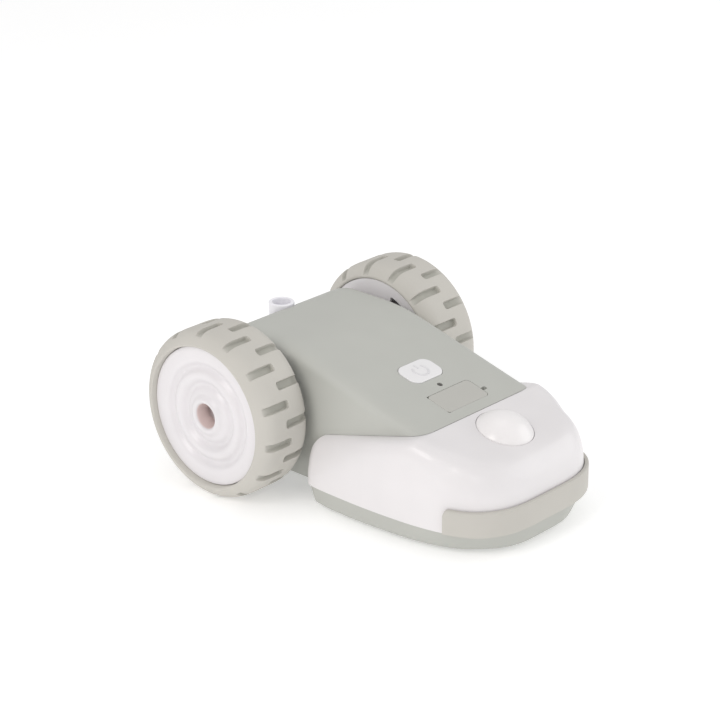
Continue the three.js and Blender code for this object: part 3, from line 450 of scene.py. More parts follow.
def paint_bore_shade(look):
    """Paints warm shade into a wheel's material inside its hub bore, where shade falls: warmer and darker
    there.
    """
    nodes, links = look.node_tree.nodes, look.node_tree.links
    place = nodes.new("ShaderNodeTexCoord")
    shift = nodes.new("ShaderNodeVectorMath")
    shift.operation = "SUBTRACT"
    shift.inputs[1].default_value = (0, AXLE_Y * MM, AXLE_Z * MM)
    links.new(place.outputs["Object"], shift.inputs[0])
    flatten = nodes.new("ShaderNodeVectorMath")
    flatten.operation = "MULTIPLY"
    flatten.inputs[1].default_value = (0, 1, 1)
    links.new(shift.outputs["Vector"], flatten.inputs[0])
    radius = nodes.new("ShaderNodeVectorMath")
    radius.operation = "LENGTH"
    links.new(flatten.outputs["Vector"], radius.inputs[0])
    edge = nodes.new("ShaderNodeMapRange")
    edge.inputs["From Min"].default_value = (HUB_BORE["radius"] + 0.05) * MM
    edge.inputs["From Max"].default_value = (HUB_BORE["radius"] + 0.6) * MM
    links.new(radius.outputs["Value"], edge.inputs["Value"])
    blend = nodes.new("ShaderNodeMix")
    blend.data_type = "RGBA"
    blend.inputs["A"].default_value = (*[linear(channel) for channel in BORE_SHADE_COLOUR], 1)
    shader = nodes["Principled BSDF"]
    links.new(shader.inputs["Base Color"].links[0].from_socket, blend.inputs["B"])
    links.new(edge.outputs["Result"], blend.inputs["Factor"])
    links.new(blend.outputs["Result"], shader.inputs["Base Color"])


def paint_slot_shade(look):
    """Paints shade into the floors of a tyre's slots, where it falls in the recesses: a little darker and
    cooler there.
    """
    nodes, links = look.node_tree.nodes, look.node_tree.links
    share = nodes.new("ShaderNodeAttribute")
    share.attribute_name = "slot"
    blend = nodes.new("ShaderNodeMix")
    blend.data_type = "RGBA"
    blend.inputs["B"].default_value = (*[linear(channel) for channel in SLOT_SHADE_COLOUR], 1)
    shader = nodes["Principled BSDF"]
    links.new(shader.inputs["Base Color"].links[0].from_socket, blend.inputs["A"])
    links.new(share.outputs["Fac"], blend.inputs["Factor"])
    links.new(blend.outputs["Result"], shader.inputs["Base Color"])


def dress_cad_nodes():
    """Gives every CAD node the fine material of its slot."""
    slots = {part["node"]: part["material_slot"] for part in frame["record"]["subparts"]}
    for name, node in frame["nodes"].items():
        node.data.materials.clear()
        node.data.materials.append(material(slots[name]))


# ---------------------------------------------------------------- body surfaces

def deck_height(y, inward=0.0):
    """Height of the shell's top: the sloping deck, its level crown, and the round fall at the tail."""
    run = max(0, min(y, CROWN_Y) - CROWN_START_Y)
    fade = DECK_SLOPE / (2 * (CROWN_Y - CROWN_START_Y))
    crown = DECK_Z0 + DECK_SLOPE * min(y, CROWN_START_Y) + DECK_SLOPE * run - fade * run * run
    radius = TAIL_RADIUS - inward
    over = max(0, min(y - TAIL_START_Y, radius))
    return crown - TAIL_RADIUS + math.sqrt(radius**2 - over**2)


def side_inset(y, inward=0.0):
    """How far the shell's sides draw in at the tail's rounded corners."""
    radius = TAIL_CORNER - inward
    over = max(0, min(y - (TAIL_Y - TAIL_CORNER), radius))
    return TAIL_CORNER - math.sqrt(radius**2 - over**2)


def half_section(y, inward, foot_z):
    """The body's section from the deck over the soft ridge and the waist to the foot, on the right."""
    top, inset = deck_height(y, inward), side_inset(y, inward)
    waist_z = min(WAIST_Z, top - RIDGE_DROP - 6)
    line = []
    for angle in quarter_turn(RIDGE_STEPS):
        across = math.sin(angle) ** (2 / RIDGE_FULLNESS)
        down = 1 - math.cos(angle) ** (2 / RIDGE_FULLNESS)
        line.append((RIDGE_X - RIDGE_WIDTH * (1 - across), top - RIDGE_DROP * down))
    for i in range(1, 5):
        share = i / 4
        z = (top - RIDGE_DROP) * (1 - share) + waist_z * share
        line.append((RIDGE_X + (WAIST_X - RIDGE_X) * share, z))
    for z in (SHELL_FOOT_Z + 8, foot_z):
        line.append((FOOT_X + (z - SHELL_FOOT_Z) / 2, z))
    return [(x - inset, z) for x, z in line]


def body_ring(station, inward, foot_z, y=None):
    """The body's whole section at a station, or the same section set at another y."""
    half = half_section(station, inward, foot_z)
    y = station if y is None else y
    return [(x, y, z) for x, z in half] + [(-x, y, z) for x, z in half[::-1]]


def body_stations(inward=0.0):
    flat = [SHELL_FRONT_Y, -60, -30, 0]
    crown = list(np.linspace(CROWN_START_Y, CROWN_Y, 13)) + [94, TAIL_START_Y]
    tail = [TAIL_START_Y + (TAIL_RADIUS - inward) * math.sin(math.pi / 2 * i / 18) for i in range(1, 19)]
    return flat + crown + tail


def body_solid():
    """The shell's outside as a closed form."""
    return loft("body", [body_ring(y, 0, SHELL_FOOT_Z) for y in body_stations()])


def body_hollow(inward):
    """The same form drawn in on every side, and longer at the foot and the front to cut right through."""
    foot = SHELL_FOOT_Z - 20
    rings = [body_ring(y, inward, foot) for y in body_stations(inward)]
    return loft("hollow", [body_ring(SHELL_FRONT_Y, inward, foot, SHELL_FRONT_Y - 10), *rings])


def seam_height(y):
    (y0, z0), (y1, z1) = SEAM_TOP, SEAM_REAR
    return z0 + (y - y0) * (z1 - z0) / (y1 - y0)


def seam_x(y):
    """Distance of the shell's side from the middle of the machine, at the seam."""
    station = max(y, SEAM_TOP[0])
    half = half_section(station, 0, SHELL_FOOT_Z)
    heights = [z for _, z in half][::-1]
    widths = [x for x, _ in half][::-1]
    return float(np.interp(seam_height(station), heights, widths))


def side_seam(gap):
    """The seam behind the nose as (y, z) points: round the rear top corner and down below the foot."""
    start, knee = (np.array(SEAM_REAR) + SEAM_BEND[part] for part in ("start", "knee"))
    end = np.array(SEAM_CORNER) + SEAM_BEND["end"]
    bend = []
    for t in np.linspace(0, 1, 9):
        bend.append(tuple((1 - t) ** 2 * start + 2 * t * (1 - t) * knee + t**2 * end))
    return [(y - gap, z - gap / 2) for y, z in [*bend, SEAM_HEEL, SEAM_FOOT]]


def nose_spots(count):
    """Points along half the nose outline, from the front middle to the rear corner.

    With each come the direction in which the cover leans from it, its share of a wing's shape (none at
    the nose, all along the sides), and how much it lies on a corner.
    """
    spots = []
    for i in range(count):
        share = i / (count - 1)
        place = catmull(NOSE_OUTLINE, share)
        ahead = catmull(NOSE_OUTLINE, min(1, share + 1e-4))
        back = catmull(NOSE_OUTLINE, max(0, share - 1e-4))
        along = (ahead - back) / np.linalg.norm(ahead - back)
        wing = smoothstep(place[1], WING_START_Y, SHELL_FRONT_Y)
        lean = np.array((-along[1], along[0])) * (1 - wing) + np.array((-1, 0)) * wing
        lean /= np.linalg.norm(lean)
        corner = 2 * abs(along[0] * along[1])
        if i == 0:
            lean, corner = np.array((0.0, 1.0)), 0.0
        spots.append((place, lean, wing, corner))
    return spots


def mirrored(points):
    return points + [(-x, y, z) for x, y, z in points[::-1]]


def nose_ring(z, inward, corner_inward, count=90, back=NOSE_BACK_Y):
    """The nose outline at one height, drawn in all round and further in at the corners."""
    points = []
    for place, lean, _, corner in nose_spots(count):
        spot = place + lean * (inward + corner_inward * corner)
        points.append((max(spot[0], 0.3), min(spot[1], back), z))
    return mirrored(points)


def cover_solid(inward, foot_z, count=110, levels=26, back=NOSE_BACK_Y):
    """The cover's closed form: an upright wall that curls over to the deck, or to the seam."""
    spots = nose_spots(count)
    rings = [[] for _ in range(levels + 1)]
    for place, lean, wing, _ in spots:
        reach = SHOULDER * (1 - wing) + (place[0] - seam_x(place[1])) * wing
        rear = smoothstep(place[1], SHELL_FRONT_Y - 10, SEAM_REAR[0])
        fullness = NOSE_FULLNESS + WING_GAIN * wing - REAR_LOSS * rear
        for level in range(levels + 1):
            angle = math.pi / 2 * max(0, level - 1) / (levels - 1)
            share = math.sin(angle) ** (2 / fullness)
            curl = 1 - math.cos(angle) ** (2 / fullness)
            spot = place + lean * (inward + curl * reach)
            top = min(DECK_Z0 + DECK_SLOPE * spot[1], seam_height(spot[1]) - SEAM_GAP) - inward
            z = foot_z if level == 0 else SHOULDER_FOOT_Z + (top - SHOULDER_FOOT_Z) * share
            rings[level].append((max(spot[0], 0.3), min(spot[1], back), z))
    rings = [mirrored(ring) for ring in rings]
    ring_size = 2 * count
    points = [point for ring in rings for point in ring]
    faces = []
    for level in range(levels):
        for i in range(ring_size):
            a, b = level * ring_size + i, level * ring_size + (i + 1) % ring_size
            faces.append((a, b, b + ring_size, a + ring_size))
    for base, flip in ((0, True), (levels * ring_size, False)):
        for i in range(count - 1):
            strip = (base + i, base + i + 1, base + ring_size - 2 - i, base + ring_size - 1 - i)
            faces.append(strip[::-1] if flip else strip)
    return make("cover", points, faces)


# ---------------------------------------------------------------- outer shells

def shell_blocks():
    """The nozzle's pocket and the charging port's block, before they are hollowed out."""
    round_nozzle = post(NOZZLE["radius"] + POCKET["wall"], 0, NOZZLE_Y, NOZZLE["seat"] - WALL, 140)
    pocket = boolean(body_solid(), [round_nozzle], "INTERSECT")
    across, along = PORT_BLOCK["half_width"], PORT_BLOCK["half_depth"]
    block = box(-across, across, -along, along, PORT_BLOCK["bottom"], PORT_BLOCK["top"])
    return [pocket, on_deck(block, PORT["x"], PORT["y"])]


def port_cuts():
    """The port's recess with its tight hinge corners, pull notch, socket hole and well."""
    floor = -PORT["thick"] - GAP
    recess = rounded_outline(PORT["width"] + GAP, PORT["depth"] + GAP, PORT["corner"])
    hinge_end = rounded_outline(PORT["width"] / 2, PORT["depth"] + GAP, PORT["hinge_corner"])
    hinge_x = PORT["x"] - PORT["width"] / 4 - GAP / 2
    notch = rounded_outline(PULL["length"], PULL["width"], PULL["corner"])
    well = rounded_outline(PORT_WELL["width"], PORT_WELL["depth"], PORT_WELL["corner"])
    return [
        on_deck(plate(recess, floor, CUT_OVER), PORT["x"], PORT["y"]),
        on_deck(plate(hinge_end, floor, CUT_OVER), hinge_x, PORT["y"]),
        on_deck(plate(notch, -PULL["depth"], CUT_OVER), PULL["x"], PORT["y"] + PULL["y"]),
        on_deck(post(SOCKET["hole"], 0, 0, CUT_UNDER, 0), PORT["x"] + SOCKET["x"], PORT["y"]),
        on_deck(plate(well, PORT_WELL["floor"], 0), PORT["x"], PORT["y"]),
    ]


def build_upper_shell():
    shell = boolean(body_solid(), [body_hollow(WALL)])
    boolean(shell, shell_blocks(), "UNION")
    below = [(-300, -60), (-300, SEAM_TOP[1]), SEAM_TOP, *side_seam(0)]
    hole = rounded_outline(BUTTON["width"] + 2 * GAP, BUTTON["depth"] + 2 * GAP, BUTTON["corner"] + GAP)
    cuts = [
        side_prism(below),
        on_deck(plate(hole, CUT_UNDER, CUT_OVER), BUTTON["x"], BUTTON["y"]),
        on_deck(post(LIGHT_HOLE, 0, 0, CUT_UNDER, CUT_OVER, 32), 0, LIGHT_Y),
        *port_cuts(),
        post(NOZZLE["radius"] + POCKET["gap"], 0, NOZZLE_Y, NOZZLE["seat"], 150),
        post(NOZZLE["pipe"] + GAP, 0, NOZZLE_Y, 90, NOZZLE["seat"] + 1),
        bar(BUSH_HOLE, -90, -50, AXLE_Y, AXLE_Z),
        bar(BUSH_HOLE, 50, 90, AXLE_Y, AXLE_Z),
    ]
    boolean(shell, cuts)
    finish(shell, "upper_shell_skin", "body", "grey_shell", ["upper_shell"])


def wing_opening():
    """The space between the wings, under the grey shell."""
    ys = [SHELL_FRONT_Y - SEAM_GAP, *np.linspace(-91, 40, 60)]
    half = [(seam_x(y) - WALL, y) for y in ys]
    return plate([*half, *[(-x, y) for x, y in half[::-1]]], 10, 160)


def build_nose_cover():
    cover = cover_solid(0, COVER_FOOT_Z)
    hollow = cover_solid(WALL, COVER_FOOT_Z - 10, count=80, levels=14, back=BACK_WALL_Y)
    boolean(cover, [hollow, wing_opening()])
    front = SHELL_FRONT_Y - SEAM_GAP
    side = [(-300, -60), (-300, 200), (front, 200), (front, SEAM_TOP[1] - SEAM_GAP), *side_seam(SEAM_GAP)]
    boolean(cover, [side_prism(side)], "INTERSECT")
    boolean(cover, [on_deck(post(LAMP["radius"] + GAP, 0, 0, -20, 10, 96), 0, LAMP["y"])])
    finish(cover, "nose_cover_skin", "body", "white_cover", ["nose_cover"])


def bumper_section(high):
    """The strip's section with rounded outer edges, as (distance inwards from the nose outline, z)."""
    low, outer, round_by = COVER_FOOT_Z + GAP, -BUMPER["proud"], BUMPER["round"]
    section = [(-GAP, low), (-GAP, high)]
    for angle in quarter_turn(6):
        inwards = outer + round_by - round_by * math.sin(angle)
        section.append((inwards, high - round_by + round_by * math.cos(angle)))
    for angle in quarter_turn(6):
        inwards = outer + round_by - round_by * math.cos(angle)
        section.append((inwards, low + round_by - round_by * math.sin(angle)))
    return section


def build_bumper():
    """The soft strip round the front, whose top curves down at its ends."""
    right = [(place, lean) for place, lean, _, _ in nose_spots(200) if place[1] < BUMPER["back"]]
    left = [(place * (-1, 1), lean * (-1, 1)) for place, lean in right[:0:-1]]
    path = left + right
    rings = []
    for index, (place, lean) in enumerate(path):
        from_end = min(index, len(path) - 1 - index)
        share = min(1.0, from_end / BUMPER["end_steps"])
        trim = BUMPER["end_trim"] * (1 - math.sqrt(1 - (1 - share) ** 2))
        section = bumper_section(BUMPER["top"] - trim)
        rings.append([(*(place + lean * inwards), z) for inwards, z in section])
    finish(loft("bumper", rings), "bumper_skin", "body", "bumper_rubber", ["bumper_strip"])


def pan_form(name):
    """The base pan's outside, up to the cover's foot."""
    form = loft(name, [nose_ring(z, inset, corner) for z, inset, corner in PAN_LEVELS])
    return boolean(form, [box(-150, 150, -200, NOSE_BACK_Y - 2, 0, 30)], "INTERSECT")


def pan_body():
    """The base pan's walls and floors, before its openings."""
    pan = pan_form("pan")
    hollow_levels = ((FLOOR_Z + WALL, 6, 8), (PAN_TOP_Z + 5, 4, 1))
    hollow = loft("hollow", [nose_ring(z, inset, corner, 60, 60) for z, inset, corner in hollow_levels])
    rear_wall = pan_form("wall")
    boolean(rear_wall, [box(-95, 95, PAN_WALL_Y, PAN_WALL_Y + WALL, 0, PAN_TOP_Z)], "INTERSECT")
    floor = box(-90, 90, PAN_WALL_Y, TAIL_Y, SHELL_FOOT_Z + GAP, SHELL_FOOT_Z + GAP + WALL)
    boolean(floor, [body_hollow(WALL + GAP)], "INTERSECT")
    boolean(pan, [hollow])
    return boolean(pan, [rear_wall, floor], "UNION")


def build_base_pan():
    """The grey base with its door and latch openings, pump intake, roller wells and screw holes."""
    blocks = [post(SCREW["post"], x, y, FLOOR_Z + 2, SCREW["top"]) for x, y in SCREWS]
    intake, intake_y = INTAKE["half"], INTAKE["y"]
    cuts = [
        box(-DOOR["half"], DOOR["half"], DOOR["front"], DOOR["back"], -5, 12),
        box(-LATCH["half"], LATCH["half"], LATCH["front"], DOOR["front"] + 1, -5, LATCH["top"]),
        box(-6, 6, LATCH["front"] + 6.1, LATCH["front"] + 11.1, 5, 20),
        box(-intake, intake, intake_y - intake, intake_y + intake, 0, 30),
    ]
    block, across, along = ROLLER_BLOCK["half"], ROLLER_WELL["half_width"], ROLLER_WELL["half_length"]
    y, z = ROLLER["y"], ROLLER["z"]
    for x in (-ROLLER["x"], ROLLER["x"]):
        blocks.append(box(x - block, x + block, y - block, y + block, FLOOR_Z + 1, ROLLER_BLOCK["top"]))
        cuts.append(box(x - across, x + across, y - along, y + along, -5, ROLLER_WELL["top"]))
        cuts.append(bar(ROLLER["pin_hole"], x - 10, x + 10, y, z, 24))
    for x, y in SCREWS:
        cuts.append(post(SCREW["head"], x, y, -5, FLOOR_Z + SCREW["head_depth"], 32))
        cuts.append(post(SCREW["hole"], x, y, -5, 30, 24))
    pan = boolean(pan_body(), blocks, "UNION")
    boolean(pan, cuts)
    finish(pan, "base_pan_skin", "body", "base_grey", ["base_pan"])


# ---------------------------------------------------------------- wheels

def tread_angles():
    """Angles round the tyre, close together at the sides of every slot."""
    half = [0.7, 1.4, 2.0, 2.5, 2.9, 3.2, 3.4, 3.6, 3.8, 4.1, 4.8, 6.2]
    arcs = np.array([*[-arc for arc in half[::-1]], 0.0, *half, 8.415])
    step = math.pi / TREAD_SLOTS
    return np.concatenate([k * step + arcs / WHEEL_RADIUS for k in range(2 * TREAD_SLOTS)])


def tread_lines():
    """Ways in from the tyre's inner side, close together where the slots end."""
    spans = (
        (0, 3, 7), (3.6, 9.6, 11), (10.5, 23, 12), (23.4, 33.6, 42), (34.6, 46, 12), (47, 53.4, 11),
        (54, TYRE_WIDTH, 7),
    )
    return np.concatenate([np.linspace(*span) for span in spans])


def slot_share(into, angle):
    """How much of a slot's depth there is at each place on the tread, from 0 to 1."""
    share = np.zeros(np.broadcast(into, angle).shape)
    step = 2 * math.pi / TREAD_SLOTS
    for start, end, shift in SLOT_ROWS:
        turn = (angle - shift * step + step / 2) % step - step / 2
        across = np.abs(into - (start + end) / 2) - (end - start) / 2 + SLOT_CORNER
        around = np.abs(turn) * WHEEL_RADIUS - SLOT_HALF_WIDTH + SLOT_CORNER
        beyond = np.hypot(np.maximum(across, 0), np.maximum(around, 0))
        distance = beyond + np.minimum(np.maximum(across, around), 0) - SLOT_CORNER
        share = np.maximum(share, 1 - smoothstep(distance, -0.55, 0.3))
    return share


def tread_surface(into, angle):
    """The tyre's outer radius with its rounded shoulders, and how deep its slots cut into it."""
    edge = np.minimum(into, TYRE_WIDTH - into)
    outwards = np.maximum(0, 1 - edge / TYRE_SHOULDER["width"])
    plain = WHEEL_RADIUS - TYRE_SHOULDER["drop"] * outwards ** TYRE_SHOULDER["power"]
    floor = SLOT_FLOOR
    for way, (run, drop) in ((into, SLOT_DIVES["inner"]), (TYRE_WIDTH - into, SLOT_DIVES["outer"])):
        floor = floor - drop * np.maximum(0, 1 - way / run)
    return plain, np.maximum(0, plain - floor) * slot_share(into, angle)


def build_tyre(hand, side):
    """The tyre as one closed surface: rings of points across its tread and back along its bead."""
    angles, lines = tread_angles(), tread_lines()
    plain, cut = tread_surface(lines[None, :], angles[:, None])
    edge, seat = BEAD["edge"], BEAD["radius"]
    into = np.concatenate([lines, (TYRE_WIDTH, TYRE_WIDTH - edge, edge, 0)])
    inside = np.tile((seat + edge, seat, seat, seat + edge), (len(angles), 1))
    radius = np.hstack([plain - cut, inside])
    turn = (math.radians(TREAD_PHASE[hand]) + angles)[:, None]
    along = np.broadcast_to(side * (TYRE_INNER_X + into), radius.shape)
    points = np.stack([along, -radius * np.cos(turn), radius * np.sin(turn)], -1).reshape(-1, 3)
    count = len(into)
    here = np.arange(len(angles))[:, None] * count + np.arange(count)
    next_line = np.roll(here, -1, axis=1)
    faces = np.stack([here, next_line, np.roll(next_line, -1, axis=0), np.roll(here, -1, axis=0)], -1)
    tyre = on_axle(make("tyre", points, faces.reshape(-1, 4).tolist()))
    # the slots' depth share, kept as the slot attribute, places the painted shade on the slot floors
    depth = np.zeros(radius.shape)
    depth[:, : len(lines)] = np.clip(cut / SLOT_DEPTH, 0, 1)
    tyre.data.attributes.new("slot", "FLOAT", "POINT").data.foreach_set("value", depth.ravel())
    finish(tyre, f"{hand}_tyre_tread", f"{hand}_wheel", "tyre_grey", [f"{hand}_tyre"], angle=50)


def build_rim(hand, side):
    """The rim: a ringed face, the hub with its bore, and the barrel under the tyre."""
    face_x = TYRE_OUTER_X - RIM_FACE
    outer, bore, web, hub = RIM["radius"], HUB_BORE["radius"], RIM["web"], RIM["hub"]
    profile = [(depth, radius) for radius, depth in smooth_curve(RIM_PROFILE, 105)]
    profile += [(HUB_BORE["depth"], bore), (HUB_BORE["depth"], AXLE_HOLE)]
    profile += [(RIM["hub_depth"], AXLE_HOLE), (RIM["hub_depth"], hub)]
    profile += [(web + 0.8, hub), (web, 18), (web, RIM["barrel"])]
    profile += [(RIM["depth"], RIM["barrel"]), (RIM["depth"], outer - 0.4), (RIM["depth"] - 0.4, outer)]
    profile += [(3, outer), (2, outer - 0.2)]
    rim = on_axle(lathe("rim", [(side * (face_x - depth), radius) for depth, radius in profile], 160))
    finish(rim, f"{hand}_rim_face", f"{hand}_wheel", "hub_white", [f"{hand}_wheel_rim"])


def polar(radius, degrees):
    return np.array((radius * math.cos(math.radians(degrees)), radius * math.sin(math.radians(degrees))))


def window_outline(middle_angle):
    """A window with radial sides, a curved outer edge and rounded corners."""
    half = WINDOWS["half_angle"]
    outer = [polar(WINDOWS["outer"], middle_angle + half * share) for share in np.linspace(-1, 1, 9)]
    inner = [polar(WINDOWS["inner"], middle_angle + half * sign) for sign in (1, -1)]
    ring = [*outer, *inner]
    outline = []
    for i, here in enumerate(ring):
        before, after = ring[i - 1], ring[(i + 1) % len(ring)]
        if 0 < i < len(outer) - 1:
            outline.append(here)
            continue
        start = here + (before - here) / np.linalg.norm(before - here) * WINDOWS["corner"]
        end = here + (after - here) / np.linalg.norm(after - here) * WINDOWS["corner"]
        for t in np.linspace(0, 1, 6):
            outline.append((1 - t) ** 2 * start + 2 * t * (1 - t) * here + t * t * end)
    return outline


def disc_outlines():
    """The disc's edge, its hole for the axle, and its windows."""
    rings = [[polar(RIM["radius"], degrees) for degrees in np.arange(0, 360, 2.25)]]
    rings.append([polar(AXLE_HOLE, degrees) for degrees in np.arange(0, 360, 12)])
    for k in range(WINDOWS["count"]):
        rings.append(window_outline(WINDOWS["turn"] + 360 / WINDOWS["count"] * k))
    return rings


def build_disc(hand, side):
    """The inner disc with its windows, as a filled curve with a soft edge."""
    curve = bpy.data.curves.new("disc", "CURVE")
    curve.dimensions = "2D"
    curve.fill_mode = "BOTH"
    curve.extrude = (DISC["half_thickness"] - DISC["edge"]) * MM
    curve.bevel_depth = DISC["edge"] * MM
    curve.bevel_resolution = 2
    curve.offset = -DISC["edge"] * MM
    for ring in disc_outlines():
        spline = curve.splines.new("POLY")
        spline.points.add(len(ring) - 1)
        spline.use_cyclic_u = True
        for point, (x, y) in zip(spline.points, ring):
            point.co = (x * MM, y * MM, 0, 1)
    drawn = bpy.data.objects.new("disc", curve)
    bpy.context.scene.collection.objects.link(drawn)
    graph = bpy.context.evaluated_depsgraph_get()
    mesh = bpy.data.meshes.new_from_object(drawn.evaluated_get(graph))
    bpy.data.objects.remove(drawn)
    disc = bpy.data.objects.new("disc", mesh)
    bpy.context.scene.collection.objects.link(disc)
    low, high = corners(f"{hand}_wheel_disc")
    place = Vector(((low[0] + high[0]) / 2, AXLE_Y, AXLE_Z)) * MM
    outwards = Matrix.Rotation(0 if side > 0 else math.pi, 4, "Z")
    move(disc, Matrix.Translation(place) @ outwards @ Matrix.Rotation(math.pi / 2, 4, "Y"))
    finish(disc, f"{hand}_disc_plate", f"{hand}_wheel", "hub_white", [f"{hand}_wheel_disc"])


# ---------------------------------------------------------------- fittings

def soft_plate(name, width, depth, corner, low, high, edge, crown=0.0):
    """A rounded rectangular cap with a soft upper edge and a slightly crowned top."""
    rings = []
    for z in (low, high - edge):
        rings.append([(x, y, z) for x, y in rounded_outline(width, depth, corner)])
    for angle in quarter_turn(6)[1:]:
        inset = edge * (1 - math.cos(angle))
        z = high - edge + edge * math.sin(angle)
        outline = rounded_outline(width - 2 * inset, depth - 2 * inset, max(0.5, corner - inset))
        rings.append([(x, y, z) for x, y in outline])
    for share in (0.8, 0.55, 0.3):
        outline = rounded_outline(width * share, depth * share, corner * share)
        rings.append([(x, y, high + crown * (1 - share**2)) for x, y in outline])
    return loft(name, rings)


def build_button():
    """The button's cap, with the flange that holds it in and the stem that works its switch."""
    width, depth, corner = BUTTON["width"], BUTTON["depth"], BUTTON["corner"]
    cap = soft_plate("cap", width, depth, corner, -4.6, BUTTON["proud"], 0.8, 0.25)
    wider = BUTTON_FLANGE["wider"]
    outline = rounded_outline(width + wider, depth + wider, corner)
    flange = plate(outline, BUTTON_FLANGE["bottom"], BUTTON_FLANGE["top"])
    stem = post(BUTTON_STEM["radius"], 0, 0, BUTTON_STEM["bottom"], -5, 32)
    boolean(cap, [flange, stem], "UNION")
    on_deck(cap, BUTTON["x"], BUTTON["y"])
    finish(cap, "button_cap", "button", "button_white", ["power_button"])
    build_power_symbol()


def stroke(line):
    """A raised stroke with narrow ends, along a line of (x, y) points on the button."""
    height = BUTTON["proud"] + SYMBOL["rise"]
    last = len(line) - 1
    rings = []
    for index, (x, y) in enumerate(line):
        ahead, back = line[min(index + 1, last)], line[max(index - 1, 0)]
        along = np.array((ahead[0] - back[0], ahead[1] - back[1]))
        across = np.array((-along[1], along[0])) / np.linalg.norm(along)
        size = SYMBOL["stroke"] * (0.55 if index in (0, last) else 1.0)
        ring = []
        for k in range(12):
            angle = 2 * math.pi * k / 12
            out, up = size * math.cos(angle), 0.5 * size * math.sin(angle)
            ring.append((x + across[0] * out, y + across[1] * out, height + up))
        rings.append(ring)
    return loft("stroke", rings)


def build_power_symbol():
    """The raised power symbol: an open ring with a bar in its gap."""
    radius, gap = SYMBOL["radius"], SYMBOL["gap"]
    turns = [math.radians(90 + gap / 2 + i * (360 - gap) / 40) for i in range(41)]
    lines = {
        "power_symbol_ring": [(radius * math.cos(turn), radius * math.sin(turn)) for turn in turns],
        "power_symbol_bar": [(0, y) for y in np.linspace(SYMBOL["bar_start"], SYMBOL["bar_end"], 13)],
    }
    for name, line in lines.items():
        part = on_deck(stroke(line), BUTTON["x"], BUTTON["y"])
        # the strokes take the darker look: painted shade for their relief
        finish(part, name, "button", "button_white", look="button_symbol_shade")


def build_port_flap():
    """The flap, half round at its hinge end so that it can turn in its recess, with the socket's plug."""
    thick, left = PORT["thick"], -PORT["width"] / 2
    flap = soft_plate("flap", PORT["width"], PORT["depth"], PORT["corner"], -thick, 0.0, 0.45)
    half = thick / 2
    turns = np.linspace(math.pi / 2, math.pi * 1.5, 17)
    side = [(left + half + half * math.cos(turn), half * math.sin(turn) - half) for turn in turns]
    side += [(-left + 1, -thick), (-left + 1, 0)]
    boolean(flap, [loft("side", [[(x, y, z) for x, z in side] for y in (-20, 20)])], "INTERSECT")
    boolean(flap, [post(SOCKET["plug"], SOCKET["x"], 0, -thick - 1, -thick + 0.5)], "UNION")
    on_deck(flap, PORT["x"], PORT["y"])
    finish(flap, "flap_panel", "port_flap", "flap_grey", ["port_flap"])


def build_lamp():
    """The domed lens, a thin shell with a short upright edge that sits in the cover's hole."""
    radius, height = LAMP["radius"], LAMP["height"]
    ball = (radius**2 + height**2) / (2 * height)
    angles = [math.asin(radius / ball) * i / 24 for i in range(25)]
    outer = [(height - ball * (1 - math.cos(angle)), ball * math.sin(angle)) for angle in angles]
    inner = [(along - LAMP["thick"], distance * 0.93) for along, distance in outer[::-1]]
    outer[0], inner[-1] = (outer[0][0], 0.001), (inner[-1][0], 0.001)
    edge = [(-0.4, radius), (-5, radius), (-5, radius - LAMP["thick"])]
    dome = lathe("dome", [*outer, *edge, *inner], 96)
    move(dome, Matrix.Rotation(-math.pi / 2, 4, "Y"))
    finish(on_deck(dome, 0, LAMP["y"]), "lamp_dome_lens", "body", "lamp_dome", ["lamp_lens"], angle=50)


def build_nozzle():
    """The outlet's upright spigot, with a rounded rim."""
    radius, bore, pipe = NOZZLE["radius"], NOZZLE["bore"], NOZZLE["pipe"]
    seat, foot, outer_round, inner_round = NOZZLE["seat"], NOZZLE["foot"], 1.0, 0.8
    profile = [(foot, pipe), (seat, pipe), (seat + GAP, pipe + 0.2), (seat + GAP, radius - 0.3)]
    profile += [(seat + 0.8, radius), (NOZZLE_TOP - outer_round, radius)]
    for angle in quarter_turn(6)[1:]:
        up, out = outer_round * math.sin(angle), outer_round * math.cos(angle)
        profile.append((NOZZLE_TOP - outer_round + up, radius - outer_round + out))
    for angle in quarter_turn(6):
        up, out = inner_round * math.cos(angle), inner_round * math.sin(angle)
        profile.append((NOZZLE_TOP - inner_round + up, bore + inner_round - out))
    profile.append((foot, bore))
    nozzle = upright(lathe("nozzle", profile, 96), 0, NOZZLE_Y)
    finish(nozzle, "outlet_spigot", "body", "nozzle_white", ["outlet_nozzle"], angle=50)


# ---------------------------------------------------------------- studio

FLOOR_REACH = 8000  # millimetres
FLOOR_GLOW = 0.3
WORLD_GLOW = 0.66
WHITE = (1.0, 1.0, 1.0)
LIGHT_AIM = Vector((0, 0, 0.05))
LIGHTS = (  # name, place in metres, size in metres, power in watts, colour
    ("left", (-1.9, -0.1, 1.55), 1.1, 13, (1.0, 0.96, 0.935)),
    ("front", (-1.25, -1.6, 1.2), 0.8, 2.5, WHITE),
    ("top", (0.3, 0.2, 2.4), 1.6, 3, WHITE),
    ("right", (1.9, -1.3, 0.9), 2.0, 12, WHITE),
)
CAMERA_AIM = (0.02965, 0.06975, 0.08352)
CAMERA_DISTANCE = 2.1173
CAMERA_LENS, CAMERA_SENSOR = 120, 36
CAMERA_AZIMUTH = math.radians(-47.25)
CAMERA_ELEVATION = math.radians(23.0)


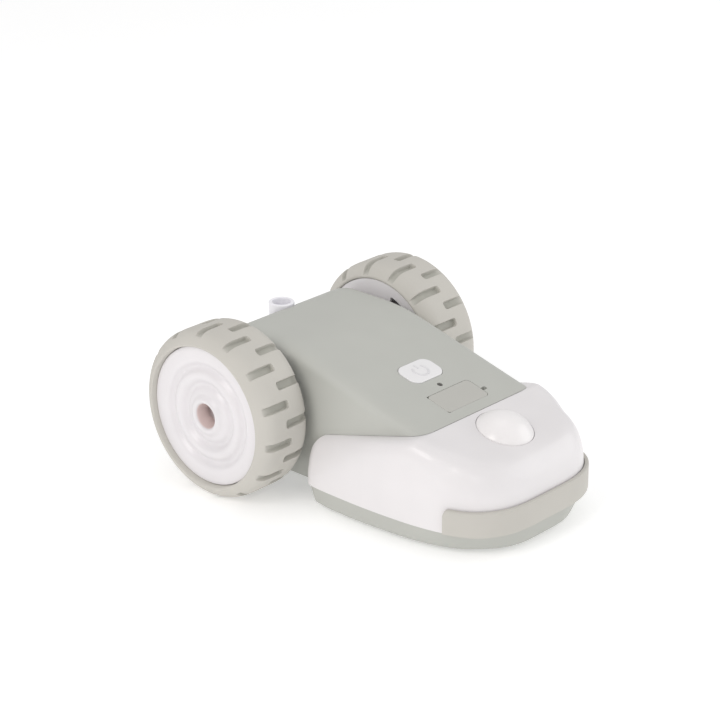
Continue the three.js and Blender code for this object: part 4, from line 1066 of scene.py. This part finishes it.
def build_camera():
    """A long lens at the three-quarter view from the front left."""
    camera = bpy.data.cameras.new("camera")
    camera.lens, camera.sensor_width = CAMERA_LENS, CAMERA_SENSOR
    viewer = bpy.data.objects.new("camera", camera)
    bpy.context.scene.collection.objects.link(viewer)
    level = math.cos(CAMERA_ELEVATION)
    back = Vector((
        math.sin(CAMERA_AZIMUTH) * level, -math.cos(CAMERA_AZIMUTH) * level, math.sin(CAMERA_ELEVATION)
    ))
    viewer.location = Vector(CAMERA_AIM) + back * CAMERA_DISTANCE
    viewer.rotation_euler = (math.pi / 2 - CAMERA_ELEVATION, 0, CAMERA_AZIMUTH)
    bpy.context.scene.camera = viewer


def build_floor():
    """A plain pale floor that glows a little, so that its far side is as white as the backdrop."""
    square = [(x * FLOOR_REACH, y * FLOOR_REACH, 0) for x, y in ((-1, -1), (1, -1), (1, 1), (-1, 1))]
    floor = make("floor", square, [(0, 1, 2, 3)])
    look = bpy.data.materials.new("studio_floor")
    look.use_nodes = True
    shader = look.node_tree.nodes["Principled BSDF"]
    shader.inputs["Base Color"].default_value = (0.9, 0.9, 0.9, 1)
    shader.inputs["Roughness"].default_value = 0.8
    shader.inputs["Emission Color"].default_value = (1, 1, 1, 1)
    shader.inputs["Emission Strength"].default_value = FLOOR_GLOW
    floor.data.materials.append(look)


def area_light(name, place, size, power, colour):
    light = bpy.data.lights.new(name, "AREA")
    light.shape = "DISK"
    light.size = size
    light.energy = power
    light.color = colour
    lamp = bpy.data.objects.new(name, light)
    bpy.context.scene.collection.objects.link(lamp)
    lamp.location = place
    lamp.rotation_euler = (LIGHT_AIM - Vector(place)).to_track_quat("-Z", "Y").to_euler()


def build_lights():
    """A white backdrop and soft lamps from four sides."""
    world = bpy.data.worlds.new("studio")
    world.use_nodes = True
    backdrop = world.node_tree.nodes["Background"]
    backdrop.inputs["Color"].default_value = (1, 1, 1, 1)
    backdrop.inputs["Strength"].default_value = WORLD_GLOW
    bpy.context.scene.world = world
    for name, place, size, power, colour in LIGHTS:
        area_light(name, place, size, power, colour)
    bpy.context.scene.view_settings.view_transform = "Standard"


build_camera()
build_floor()
build_lights()
dress_cad_nodes()
build_upper_shell()
build_nose_cover()
build_bumper()
build_base_pan()
# painted shade inside the hub bores
paint_bore_shade(material("hub_white"))
# painted shade on the floors of the tyre slots
paint_slot_shade(material("tyre_grey"))
for hand, side in SIDES.items():
    build_tyre(hand, side)
    build_rim(hand, side)
    build_disc(hand, side)
build_button()
build_port_flap()
build_lamp()
build_nozzle()
